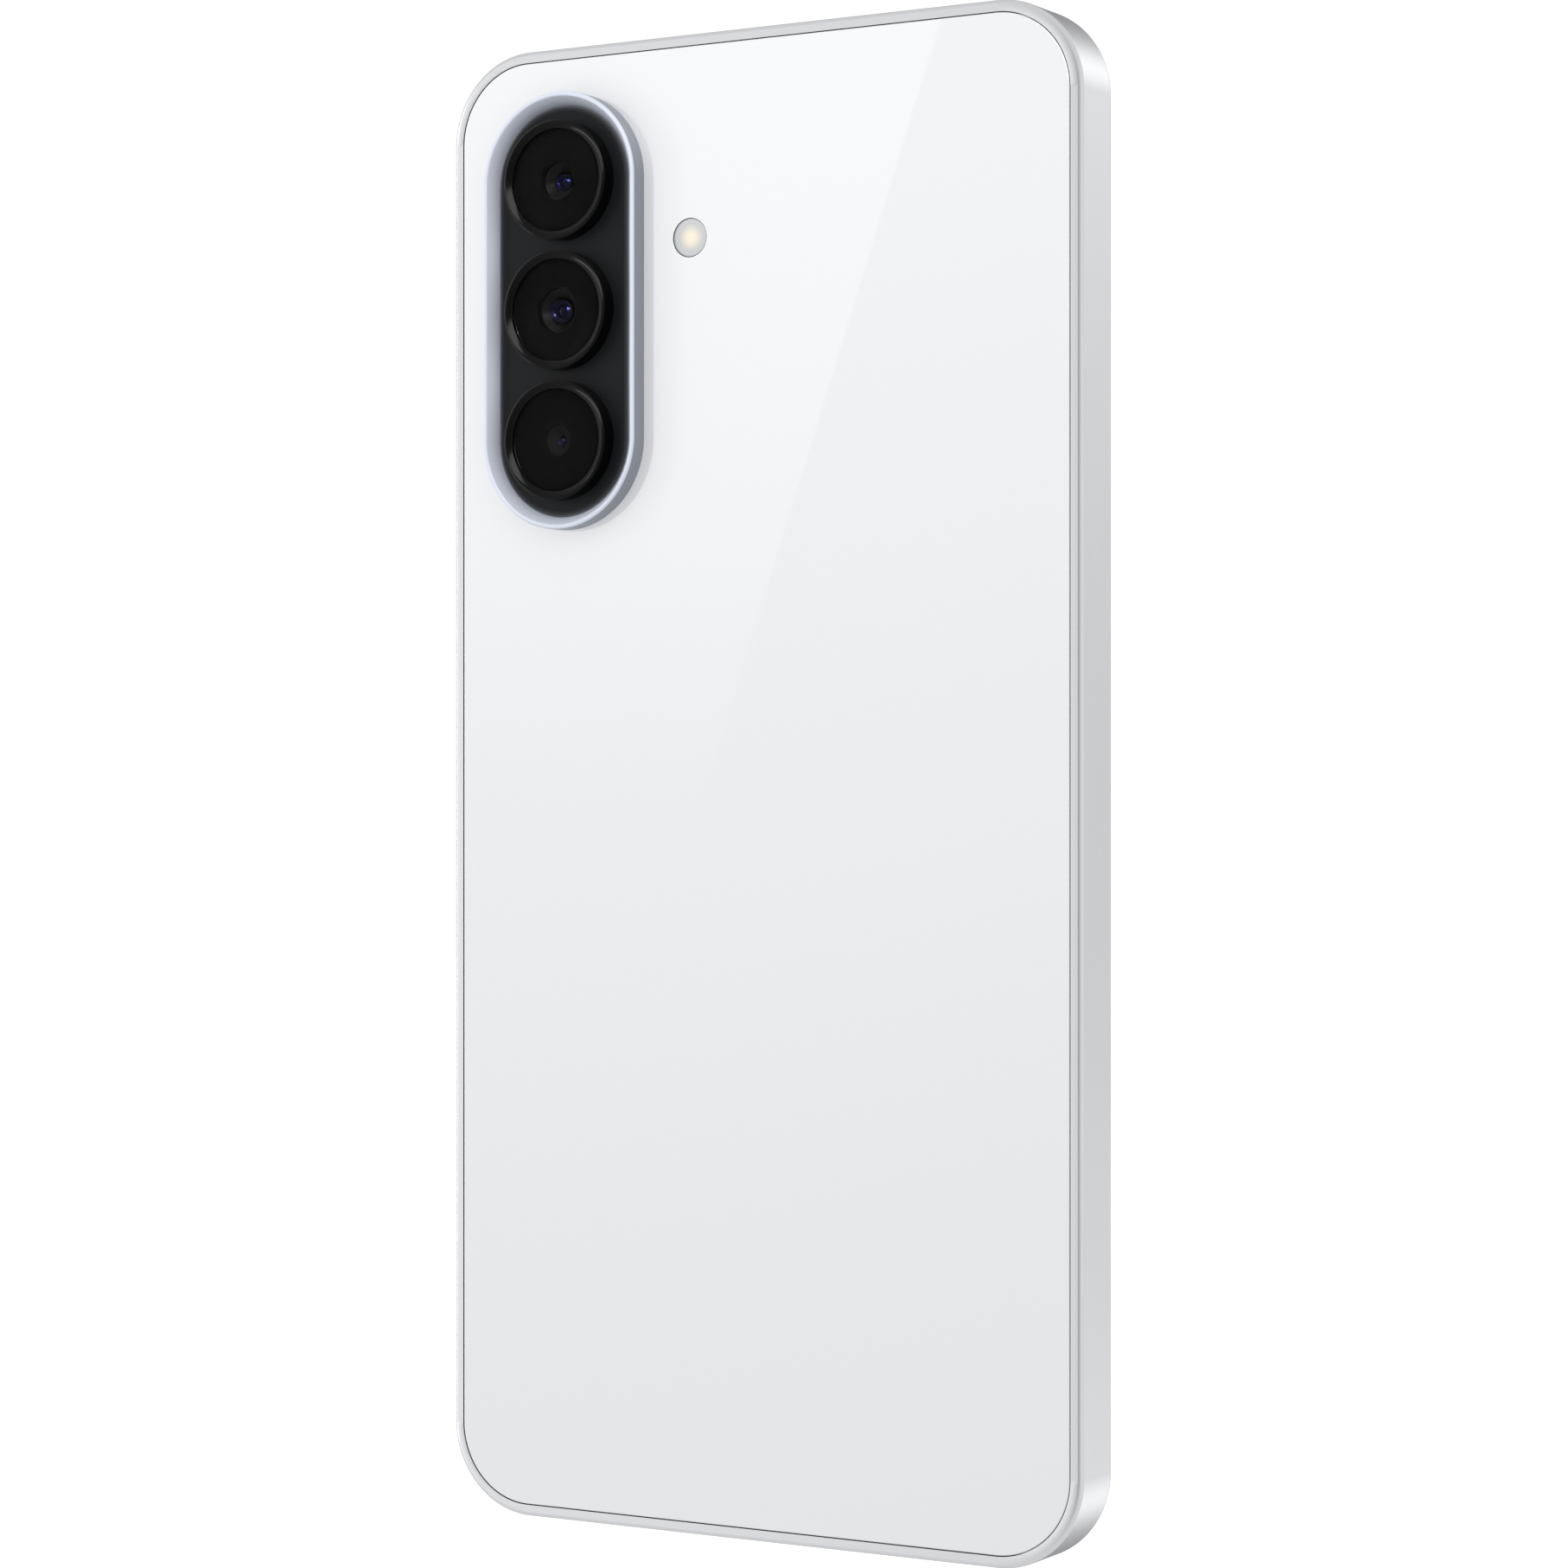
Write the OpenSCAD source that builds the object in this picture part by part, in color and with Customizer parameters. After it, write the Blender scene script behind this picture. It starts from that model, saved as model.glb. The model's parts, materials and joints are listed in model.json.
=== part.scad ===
// Smartphone: a flat slab with a raised camera island, two side buttons and a SIM tray.
// Every piece is drawn lying down, in plan: x across, y towards the earpiece and z as
// depth, from the back face (z = 0) to the screen. upright() then stands it up, so the
// origin is the centre of the back face, +Z points at the earpiece, the screen faces -Y
// and the camera island stands out towards +Y. All sizes are in millimetres.

/* [Body] */
// Width over the side frame
body_w = 78.2; // [78:0.1:80]
// Height over the side frame
body_h = 162.9; // [162.5:0.1:165]
// Thickness from the back cover to the front glass
body_t = 7.4; // [7.4:0.1:7.8]
// Radius of the four corners
corner_r = 9.9; // [9:0.1:11]
// Rounding of the side frame's front and back edges
edge_r = 0.68; // [0.4:0.02:0.8]
// Thickness of the side frame's wall
wall_t = 2.4; // [2.2:0.1:2.5]
// Width of the flat rim round the back cover
rim_w = 1.28; // [1.1:0.02:1.4]
// Thickness of the back cover
cover_t = 0.75; // [0.6:0.05:0.8]
// Thickness of the front glass
glass_t = 0.7; // [0.6:0.05:0.75]

/* [Camera island] */
// Width of the island's ring
island_w = 19.8; // [19:0.1:20.5]
// Height of the island's ring
island_h = 48.2; // [47:0.1:49]
// How far the ring stands out of the back
ring_rise = 2.2; // [1.8:0.1:2.4]
// Width of the ring's sloping face
ring_w = 1.35; // [1.2:0.05:1.5]
// How far the black plate stands out of the back
plate_rise = 1; // [0.8:0.1:1.2]
// How far the lens trims stand out of the back
trim_rise = 3; // [2.8:0.1:3.2]
// Distance from the island's centre to the middle of the phone
island_x = 23.75; // [22:0.25:25]
// Height of the island's centre above the middle of the phone
island_y = 52.15; // [51:0.05:53]
// Distance between the lenses
lens_pitch = 14.3; // [14:0.1:14.6]
// Radius of a lens trim
trim_r = 6.6; // [6.3:0.05:6.8]
// Radius of a lens cover glass
lens_glass_r = 5.6; // [5.3:0.05:5.7]
// Radius of the flash window
flash_r = 2.08; // [1.8:0.02:2.4]
// Distance from the flash to the middle of the phone
flash_x = 8; // [7:0.25:9]

/* [Buttons and ports] */
// Length of the power button
power_l = 12; // [10:0.5:13]
// Height of the power button above the middle of the phone
power_y = 11; // [9:0.5:13]
// Length of the volume button
volume_l = 23; // [20:0.5:24]
// Height of the volume button above the middle of the phone
volume_y = 34; // [33:0.5:36]
// Width of both buttons
button_w = 2.2; // [2:0.1:2.4]
// How far the buttons stand out of the side frame
button_rise = 0.5; // [0.3:0.05:0.6]
// Width of the charging port's metal sleeve
port_w = 8.94; // [8.9:0.02:8.96]
// Thickness of the charging port's metal sleeve
port_t = 3.26; // [3.2:0.02:3.3]
// Width of the SIM tray's end
tray_head_w = 17; // [16.5:0.1:17.2]
// Thickness of the SIM tray's end
tray_head_t = 2.4; // [2.2:0.05:2.5]
// Radius of the hole for the ejector pin
eject_hole_r = 0.45; // [0.4:0.01:0.5]
// Number of holes in the loudspeaker grille
grille_holes = 6; // [4:1:6]

/* [Hidden] */
$fn = 64;

// Gaps: between glued or seated pieces, round pieces that move, round the boards and
// round notches; a hair keeps two faces apart, and past runs a cut clear of its piece
seat_gap = 0.05;
slide_gap = 0.1;
board_gap = 0.3;
cut_gap = 0.4;
hair = 0.02;
past = 1;

// Depths of the layers, from the back face
cover_gasket_t = 0.2;
front_gasket_t = 0.25;
back_ledge_z = cover_t + cover_gasket_t;
front_ledge_z = body_t - glass_t - front_gasket_t;
ledge_w = 3.2;
ledge_t = 0.55;
front_stack_t = 2.05;
mid_z = body_t - front_stack_t;
mid_t = 0.55;
backing_t = 0.2;
display_z = mid_z + mid_t + backing_t;
display_t = body_t - glass_t - display_z;
centre_z = body_t / 2;
board_t = 0.6;
board_z = mid_z - board_t - seat_gap;

// Inner faces of the side frame, and the outlines of the glued layers
inner_x = body_w / 2 - wall_t;
inner_y = body_h / 2 - wall_t;
cover_inset = rim_w + 0.08;
front_rim_w = 1;
front_inset = front_rim_w + 0.12;
gasket_inset = 0.15;
ledge_lip = 0.1;
display_inset = 3.5;
backing_inset = 3.9;
notch_half = port_w / 2 + 1.4;
notch_y = -71.6;

// Camera island
island_r = island_w / 2;
ring_edge_r = 0.5;
ring_skirt_w = 0.6;
ring_skirt_l = 0.9;
hole_side = 2 * (ring_w - seat_gap);
plate_t = 0.8;
trim_chamfer = 0.15;
trim_peak = 0.25;
spigot_r = 5.2;
lens_bore_r = 4.7;
glass_drop = 0.35;
glass_disc_t = 0.5;
lens_y = [island_y + lens_pitch, island_y, island_y - lens_pitch];
flash_y = island_y + lens_pitch / 2;
flash_flange = 0.5;
flash_flange_t = 0.3;

// Camera modules: half-sides, lens radii and depths
main_half = 5.5;
main_lens_r = 4.1;
main_bore_r = 4.25;
main_top_z = -1.75;
main_box_z = 1.9;
wide_half = 4.75;
wide_lens_r = 3.2;
wide_box_z = 2.3;
macro_half = 3.25;
macro_lens_r = 2.2;
macro_box_z = 2.6;
module_floor_z = mid_z - seat_gap;
lens_step = 0.6;
sensor_t = 0.7;
focus_room = 0.6;
bracket_z = [1.2, 1.6];
bracket_w = 18.6;
bracket_h = 42;
bracket_r = 2;
bracket_ear_y = 24;
bracket_ear_r = 1.9;
bracket_arm_l = 4;
bracket_hole_gap = 1;
bracket_arm_y = (bracket_h / 2 + bracket_ear_y) / 2;
bracket_sink = 0.15;

// Hollow of a lens front: radius of its curve and half its width, in lens radii
dish_curve = 1.6;
dish_width = 0.7;

// Boards and what they carry, as [[x0, x1], [y0, y1], [z0, z1]]
main_low = [[-inner_x + 0.7, 12.5], [26.2, 70.5], [board_z, board_z + board_t]];
main_high = [[-inner_x + 0.7, -15.5], [70.5, inner_y - 0.35], [board_z, board_z + board_t]];
processor_zone = [[-20, -6], [46, 60], [board_z - 1.1, board_z]];
processor_shield_zone = [[-24, -3], [40, 63.5], [board_z - 1.6, board_z]];
power_shield_zone = [[-0.5, 11.5], [34.5, 52], [board_z - 1.4, board_z]];
shield_wall = 0.25;
cover_zone = [[-inner_x + 0.6, 12.6], [30.2, 70.6], [1.15, 1.95]];
cover_high = [[-inner_x + 0.6, -15.4], [70.6, inner_y - 0.3], [1.15, 1.95]];
led_zone = [[-2.3, 2.3], [-2.3, 2.3], [1.7, 1.95]];
led_chip = [[-1.2, 1.2], [-1.2, 1.2], [1.2, 1.7]];
led_window = 5;
coil_size = [30, 33];
coil_at = [-19, 49];
coil_band = 3.2;
coil_corner_r = 4;
coil_z = [1.0, 1.12];
sub_zone = [[-35.4, 35.4], [-inner_y + 0.35, -49.2], [board_z, board_z + board_t]];

// Battery and the cables that cross it
battery_zone = [[-33.4, 33.4], [-49, 25], [1.15, mid_z - seat_gap]];
battery_r = 1.2;
tab_zone = [[16, 25], [-52.5, -36], [1.0, 1.1]];
battery_flex_x = [2, 9];
battery_flex_z = [3.0, 3.15];
main_flex_x = [-20, -8];
main_flex_z = [1.0, 1.12];
flex_t = 0.12;
battery_flex_run = 1.6;
main_flex_y = [battery_zone[1][0] - 1.7, battery_zone[1][1] + 1.5];
main_flex_foot_x = -12;
connector_d = 3;
connector_t = 1;
coax_x = -inner_x + 1.5;
coax_r = 0.5;
coax_z = 3.2;
coax_plug_r = 1.1;
coax_y = [battery_zone[1][0] - 3.4, battery_zone[1][1] + 4];

// Bottom edge: charging port, microphone, loudspeaker and SIM tray
port_back_y = -72.4;
port_front_y = -body_h / 2 + 0.15;
port_wall = 0.3;
port_slot_gap = 0.08;
port_base_l = 1.4;
tongue_w = 6.7;
tongue_t = 0.7;
tongue_set_back = 0.5;
port_gasket_w = 0.5;
port_gasket_l = 0.9;
mic_x = -8.2;
mic_hole_r = 0.5;
mic_size = [3, 2.2, 1.5];
mic_port_r = 0.3;
mic_port_l = 0.9;
top_mic_x = -22;
grille_x = 12;
grille_pitch = 3;
grille_w = 2.3;
grille_t = 1.3;
mesh_t = 0.2;
mesh_over = 1;
speaker_zone = [[8.6, 35], [-inner_y + 0.35, -53.4], [1.2, board_z - seat_gap]];
speaker_wall = 0.6;
speaker_throat = [[10, 29.5], [-inner_y, -76.5], [2.7, 4.4]];
cone_zone = [[15, 30], [-71.5, -60.5], [2.35, 2.6]];
cone_at = [for (axis = [0, 1]) (cone_zone[axis][0] + cone_zone[axis][1]) / 2];
cone_r = 3;
coil_r = 3.4;
coil_wall = 0.3;
coil_l = 1;
screw_boss = 0.6;
magnet_r = 2.8;
magnet_z = 3.3;
motor_zone = [[-7.2, 7.2], [-68.4, -60.4], [1.3, board_z - seat_gap]];
motor_wall = 0.3;
mass_zone = [[-5.4, 5.4], [-67.6, -61.2], [1.9, 4.1]];
tray_x = [-28.6, -15];
tray_head_x = -20.6;
tray_tail_y = -57.4;
tray_t = 1.3;
tray_head_l = wall_t - 0.15;
card_size = [12.3, 8.8];
card_pocket = 0.5;
card_y = [-65.2, -74.9];
seal_y = -inner_y - 0.75;
seal_l = 0.5;
seal_depth = 0.25;
reader_x = [-29.2, -14.4];
reader_y = [-inner_y + 0.4, -54.9];
reader_z = [2.75, board_z];
reader_wall = 0.2;
reader_open_y = [reader_y[1] - 2, reader_y[1] - 1.6];
reader_foot = 1;
rod_x = -13.3;
rod_r = 0.42;
rod_y = [-inner_y + 0.3, -54.9];
guide_y = [-70, -66];
guide_half = 0.95;
lever_at = [-17.8, -54.2];
lever_arm = 4.5;
lever_half = 0.5;
lever_z = [3.3, 4.2];
lever_tip = 0.5;
pivot_lip = 0.2;
pivot_r = 0.5;
pivot_boss_r = 1;

// Side buttons, drawn along the side wall
flange_over = 0.5;
flange_t = 0.5;
power_flange_x = inner_x - 0.55;
volume_flange_x = inner_x - 0.85;
nub_r = 0.6;
nub_l = 0.3;
volume_nub = 8;
key_flex_x = 35.05;
key_flex_t = 0.2;
key_flex_w = 3;
dome_r = 1.5;
dome_reach = 0.3;
key_flex_over = 4;
button_crown = 0.15;

// Front: camera, earpiece and fingerprint reader
front_camera_y = 74.4;
punch_r = 1.85;
front_half = 3;
front_lens_r = 1.6;
front_lens_gap = 0.1;
front_box_z = [2.9, display_z - slide_gap];
earpiece_w = 10;
earpiece_t = 0.55;
earpiece_sink = 0.1;
receiver_zone = [[-14.6, -4.6], [72, 77.6], [3, mid_z - seat_gap]];
sensor_y = -50;
sensor_half = 4.4;
sensor_z = [mid_z + hair, display_z];

// Screws: places, sizes and the posts they go into
screw_head_r = 1.2;
screw_head_t = 0.4;
screw_r = 0.6;
screw_end_z = mid_z + mid_t / 2;
screw_bore_r = 0.65;
post_r = 1.7;
screw_slot = [1.2, 0.25, 0.5];
screw_blind = 0.15;
post_z = 3.6;
post_gap = 0.1;
cover_screws = [
    [-33.4, 33.5], [-33.4, 54], [-32.4, 74.8], [-14, 33.5],
    [9.8, 31.9], [9.8, 67.6], [-19, 74.8]
];
speaker_screws = [[11, -55.8], [32.8, -55.8]];
bracket_screws = [[island_x, island_y + bracket_ear_y], [island_x, island_y - bracket_ear_y]];
box_seat_z = 1.15;
bracket_seat_z = 0.95;

// Stands a piece up: plan y becomes height, and depth runs towards the screen
module upright() {
    rotate([90, 0, 0]) children();
}

// A box between three pairs of limits
module block(zone) {
    translate([zone[0][0], zone[1][0], zone[2][0]])
        cube([zone[0][1] - zone[0][0], zone[1][1] - zone[1][0], zone[2][1] - zone[2][0]]);
}

// An outline extruded between two depths
module layer(z_range) {
    translate([0, 0, z_range[0]])
        linear_extrude(z_range[1] - z_range[0]) children();
}

// A round post or hole between two depths
module post(at, r, z_range) {
    translate([at[0], at[1], z_range[0]])
        cylinder(r = r, h = z_range[1] - z_range[0]);
}

// A rectangle with round corners
module rounded(w, h, r) {
    square([w - 2 * r, h], center = true);
    square([w, h - 2 * r], center = true);
    for (sx = [-1, 1], sy = [-1, 1])
        translate([sx * (w / 2 - r), sy * (h / 2 - r)])
            circle(r);
}

// The phone's outline, drawn in by an amount
module outline(inset) {
    rounded(body_w - 2 * inset, body_h - 2 * inset, corner_r - inset);
}

// Keeps what follows inside the side frame, clear of its wall or ledge by an inset
module inside(inset) {
    intersection() {
        layer([0, body_t]) outline(inset);
        union() children();
    }
}

// A slot with round ends, as long as w and as wide as t
module pill(w, t) {
    square([w - t, t], center = true);
    for (s = [-1, 1])
        translate([s * (w - t) / 2, 0])
            circle(t / 2);
}

// Extrudes an outline drawn in x and z along y, down from y_top
module along_y(y_top, length) {
    translate([0, y_top, 0])
        rotate([90, 0, 0])
            linear_extrude(length) children();
}

// Extrudes an outline drawn in y and z along x, from x_start
module along_x(x_start, length) {
    translate([x_start, 0, 0])
        rotate([90, 0, 90])
            linear_extrude(length) children();
}

// Carries a profile round a rounded rectangle: its x is the distance from the
// corner's centre and its y the depth
module swept(w, h, r) {
    for (turn = [0, 90, 180, 270]) {
        across = turn % 180 == 0 ? w : h;
        along = turn % 180 == 0 ? h : w;
        rotate(turn)
            translate([across / 2 - r, along / 2 - r, 0]) {
                rotate_extrude(angle = 90) children();
                rotate([90, 0, 0])
                    linear_extrude(along - 2 * r) children();
            }
    }
}

// Places what follows at a button's height and the middle of the thickness
module at_side(y) {
    translate([y, centre_z]) children();
}

// Section through the side frame: rounded wall with a ledge behind each glass
module frame_section() {
    difference() {
        union() {
            translate([corner_r - wall_t, edge_r])
                square([wall_t, body_t - 2 * edge_r]);
            translate([corner_r - ledge_w, 0])
                square([ledge_w - edge_r, body_t]);
            for (z = [edge_r, body_t - edge_r])
                translate([corner_r - edge_r, z])
                    circle(edge_r);
        }
        translate([0, -past])
            square([corner_r - rim_w, back_ledge_z + past]);
        translate([0, back_ledge_z + ledge_t])
            square([corner_r - wall_t, front_ledge_z - back_ledge_z - 2 * ledge_t]);
        translate([0, front_ledge_z])
            square([corner_r - front_rim_w, body_t]);
    }
}

// The grille's row of round-ended holes
module grille_row(grow) {
    for (i = [0:grille_holes - 1])
        translate([grille_x + i * grille_pitch, centre_z])
            pill(grille_w + grow, grille_t + grow);
}

module side_frame() {
    wall_from_y = -inner_y + past;
    color("silver") upright() difference() {
        swept(body_w, body_h, corner_r) frame_section();
        along_y(wall_from_y, wall_t + 2 * past) {
            translate([0, centre_z])
                pill(port_w + 2 * port_slot_gap, port_t + 2 * port_slot_gap);
            translate([tray_head_x, centre_z])
                pill(tray_head_w + 2 * slide_gap, tray_head_t + 2 * slide_gap);
            grille_row(0);
        }
        translate([mic_x, wall_from_y, centre_z])
            rotate([90, 0, 0]) cylinder(r = mic_hole_r, h = wall_t + 2 * past);
        translate([top_mic_x, body_h / 2 + past, centre_z])
            rotate([90, 0, 0]) cylinder(r = mic_hole_r, h = wall_t + 2 * past);
        along_x(inner_x - past, wall_t + 2 * past) {
            at_side(power_y) pill(power_l + 2 * slide_gap, button_w + 2 * slide_gap);
            at_side(volume_y) pill(volume_l + 2 * slide_gap, button_w + 2 * slide_gap);
        }
    }
}

// A square hole on the middle line, round a piece that is 2 * half wide
module square_hole(y, half) {
    translate([0, y, 0])
        linear_extrude(body_t) square(2 * half + cut_gap, center = true);
}

module mid_plate() {
    screws = concat(cover_screws, speaker_screws, bracket_screws);
    color("dimgray") upright() difference() {
        union() {
            layer([mid_z, mid_z + mid_t]) outline(wall_t + seat_gap);
            for (at = screws)
                post(at, post_r, [post_z, mid_z]);
        }
        for (at = screws)
            post(at, screw_bore_r, [post_z - past, mid_z + mid_t - screw_blind]);
        block([[-notch_half, notch_half], [-body_h, notch_y], [mid_z - past, body_t]]);
        square_hole(front_camera_y, front_half);
        square_hole(sensor_y, sensor_half);
    }
}

module rear_cover() {
    color("white") upright() difference() {
        layer([0, cover_t]) outline(cover_inset);
        translate([island_x, island_y, -past])
            linear_extrude(cover_t + 2 * past)
                rotate(90) pill(island_h - hole_side, island_w - hole_side);
        post([flash_x, flash_y], flash_r + seat_gap, [-past, cover_t + past]);
    }
}

module rear_cover_gasket() {
    color("black") upright() layer([cover_t, back_ledge_z]) difference() {
        outline(cover_inset + gasket_inset);
        outline(ledge_w - ledge_lip);
    }
}

// Section through the island's ring: upright outside, sloping down to the plate inside
module ring_section() {
    skirt_x = island_r - ring_w - ring_skirt_w;
    difference() {
        union() {
            polygon([
                [island_r, 0],
                [island_r, -ring_rise + ring_edge_r],
                [island_r - ring_edge_r, -ring_rise],
                [island_r - ring_w, -plate_rise],
                [island_r - ring_w, 0]
            ]);
            translate([island_r - ring_edge_r, -ring_rise + ring_edge_r])
                circle(ring_edge_r);
        }
        translate([0, -plate_rise])
            square([island_r - ring_w, plate_rise]);
    }
    translate([skirt_x, plate_t - plate_rise])
        square([ring_skirt_w, plate_rise - plate_t + ring_skirt_l]);
    translate([skirt_x, plate_t - plate_rise])
        square([ring_skirt_w + ring_w / 2, plate_rise - plate_t]);
}

module camera_ring() {
    color("lightsteelblue") upright() translate([island_x, island_y, 0]) {
        for (side = [0, 180])
            rotate(side) {
                translate([0, (island_h - island_w) / 2, 0])
                    rotate_extrude(angle = 180) ring_section();
                translate([0, (island_h - island_w) / 2, 0])
                    rotate([90, 0, 0])
                        linear_extrude(island_h - island_w) ring_section();
            }
    }
}

module camera_plate() {
    color("black") upright() difference() {
        translate([island_x, island_y, -plate_rise])
            linear_extrude(plate_t)
                rotate(90) pill(island_h - 2 * ring_w - 2 * hair, island_w - 2 * ring_w - 2 * hair);
        for (y = lens_y)
            post([island_x, y], spigot_r + seat_gap, [-trim_rise, past]);
    }
}

// A lens trim: ring that slopes in to its glass's seat, with a spigot through the plate
module lens_trim(y) {
    color("black") upright() translate([island_x, y, 0])
        rotate_extrude() {
            difference() {
                polygon([
                    [lens_bore_r, -plate_rise],
                    [lens_bore_r, -trim_rise + glass_drop],
                    [lens_glass_r + seat_gap, -trim_rise + glass_drop],
                    [trim_r - trim_peak, -trim_rise],
                    [trim_r, -trim_rise + trim_chamfer],
                    [trim_r, -plate_rise]
                ]);
                translate([0, -trim_rise])
                    square([lens_glass_r + seat_gap, glass_drop + glass_disc_t]);
            }
            translate([lens_bore_r, -plate_rise - seat_gap])
                square([spigot_r - lens_bore_r, plate_t + seat_gap]);
        }
}

module lens_glass(y) {
    top = -trim_rise + glass_drop;
    color("darkslategray") upright() post([island_x, y], lens_glass_r, [top, top + glass_disc_t]);
}

module top_lens_trim() {
    lens_trim(lens_y[0]);
}

module middle_lens_trim() {
    lens_trim(lens_y[1]);
}

module bottom_lens_trim() {
    lens_trim(lens_y[2]);
}

module top_lens_glass() {
    lens_glass(lens_y[0]);
}

module middle_lens_glass() {
    lens_glass(lens_y[1]);
}

module bottom_lens_glass() {
    lens_glass(lens_y[2]);
}

module flash_window() {
    color("wheat") upright() {
        post([flash_x, flash_y], flash_r, [hair, cover_t]);
        post([flash_x, flash_y], flash_r + flash_flange, [cover_t, cover_t + flash_flange_t]);
    }
}

module flash_led() {
    color("gold") upright() translate([flash_x, flash_y, 0]) {
        block(led_zone);
        block(led_chip);
    }
}

// Half-sides and depths of a camera module's square box
module camera_box(y, half, z_range) {
    translate([island_x, y, 0])
        block([[-half, half], [-half, half], z_range]);
}

module ultrawide_housing() {
    color("dimgray") upright() camera_box(lens_y[0], wide_half, [wide_box_z, module_floor_z]);
}

// The hollow in the front of a lens of radius r
module lens_dish(y, r) {
    translate([island_x, y, main_top_z - r * sqrt(pow(dish_curve, 2) - pow(dish_width, 2))])
        sphere(r * dish_curve);
}

// A fixed lens: stepped barrel with a dished front
module fixed_lens(y, r, foot) {
    color("black") upright() difference() {
        union() {
            post([island_x, y], r, [main_top_z, foot]);
            post([island_x, y], r + lens_step, [(main_top_z + foot) / 2, foot]);
        }
        lens_dish(y, r);
    }
}

module ultrawide_lens() {
    fixed_lens(lens_y[0], wide_lens_r, wide_box_z);
}

module main_camera_housing() {
    color("dimgray") upright() difference() {
        camera_box(lens_y[1], main_half, [main_box_z, module_floor_z]);
        post([island_x, lens_y[1]], main_bore_r, [0, module_floor_z - sensor_t]);
    }
}

module main_camera_barrel() {
    barrel_z = [main_top_z, module_floor_z - sensor_t - focus_room];
    color("black") upright() difference() {
        post([island_x, lens_y[1]], main_lens_r, barrel_z);
        lens_dish(lens_y[1], main_lens_r);
    }
}

module macro_housing() {
    color("dimgray") upright() camera_box(lens_y[2], macro_half, [macro_box_z, module_floor_z]);
}

module macro_lens() {
    fixed_lens(lens_y[2], macro_lens_r, macro_box_z);
}

module camera_bracket() {
    color("silver") upright() difference() {
        union() {
            translate([island_x, island_y, bracket_z[0]])
                linear_extrude(bracket_z[1] - bracket_z[0])
                    rounded(bracket_w, bracket_h, bracket_r);
            for (at = bracket_screws) {
                post(at, bracket_ear_r, bracket_z);
                post(at, post_r - post_gap, [bracket_z[0], post_z]);
            }
            for (side = [-1, 1])
                translate([island_x, island_y + side * bracket_arm_y, bracket_z[0]])
                    linear_extrude(bracket_z[1] - bracket_z[0])
                        square([2 * bracket_ear_r, bracket_arm_l], center = true);
        }
        for (at = bracket_screws) {
            post(at, screw_bore_r, [0, post_z + past]);
            post(at, screw_head_r + seat_gap, [0, bracket_z[0] + bracket_sink]);
        }
        post([island_x, lens_y[0]], wide_lens_r + bracket_hole_gap, [0, body_t]);
        post([island_x, lens_y[1]], main_lens_r + bracket_hole_gap / 2, [0, body_t]);
        post([island_x, lens_y[2]], macro_lens_r + bracket_hole_gap, [0, body_t]);
    }
}

module main_board() {
    color("seagreen") upright() difference() {
        inside(wall_t + board_gap) {
            block(main_low);
            block(main_high);
        }
        for (at = cover_screws)
            post(at, post_r + post_gap, [0, body_t]);
    }
}

module processor() {
    color("black") upright() block(processor_zone);
}

// A sheet-metal lid over part of a board, open towards the board
module shield(zone) {
    color("silver") upright() difference() {
        block(zone);
        block([
            [zone[0][0] + shield_wall, zone[0][1] - shield_wall],
            [zone[1][0] + shield_wall, zone[1][1] - shield_wall],
            [zone[2][0] + shield_wall, zone[2][1] + past]
        ]);
    }
}

module processor_shield() {
    shield(processor_shield_zone);
}

module power_shield() {
    shield(power_shield_zone);
}

module upper_cover() {
    color("darkslategray") upright() difference() {
        union() {
            inside(ledge_w + post_gap) {
                block(cover_zone);
                block(cover_high);
            }
            for (at = cover_screws)
                post(at, post_r - post_gap, [cover_zone[2][1], post_z]);
        }
        for (at = cover_screws) {
            post(at, screw_bore_r + seat_gap, [0, post_z + past]);
            post(at, screw_head_r + seat_gap, [0, cover_zone[2][0] + screw_head_t]);
        }
        translate([flash_x, flash_y, 0])
            linear_extrude(body_t) square(led_window, center = true);
    }
}

module nfc_coil() {
    color("peru") upright() translate([coil_at[0], coil_at[1], coil_z[0]])
        linear_extrude(coil_z[1] - coil_z[0]) difference() {
            rounded(coil_size[0], coil_size[1], coil_corner_r);
            rounded(coil_size[0] - 2 * coil_band, coil_size[1] - 2 * coil_band, coil_corner_r / 2);
        }
}

module battery_cell() {
    x = battery_zone[0];
    y = battery_zone[1];
    color("black") upright() translate([(x[0] + x[1]) / 2, (y[0] + y[1]) / 2, 0])
        layer(battery_zone[2]) rounded(x[1] - x[0], y[1] - y[0], battery_r);
}

module battery_pull_tab() {
    color("gainsboro") upright() block(tab_zone);
}

// A flat connector block that stands on a board
module connector(x_range, y) {
    block([x_range, [y, y + connector_d], [board_z - connector_t, board_z]]);
}

// The part of a flat cable that turns down to its connector
module flex_riser(x_range, y, z_from) {
    block([x_range, [y, y + flex_t], [z_from, board_z - connector_t]]);
}

module battery_flex() {
    edge = battery_zone[1][1];
    foot = edge + battery_flex_run;
    color("orange") upright() {
        block([battery_flex_x, [edge, foot + flex_t], battery_flex_z]);
        flex_riser(battery_flex_x, foot, battery_flex_z[1]);
        connector(battery_flex_x, foot);
    }
}

module main_flex() {
    low = main_flex_y[0];
    high = main_flex_y[1];
    foot_x = [main_flex_foot_x, main_flex_x[1]];
    color("darkorange") upright() {
        block([main_flex_x, [low, high + flex_t], main_flex_z]);
        flex_riser(main_flex_x, low, main_flex_z[1]);
        flex_riser(main_flex_x, high, main_flex_z[1]);
        block([foot_x, [low, low + connector_d / 2], [board_z - connector_t, board_z]]);
        connector(main_flex_x, high);
    }
}

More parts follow.
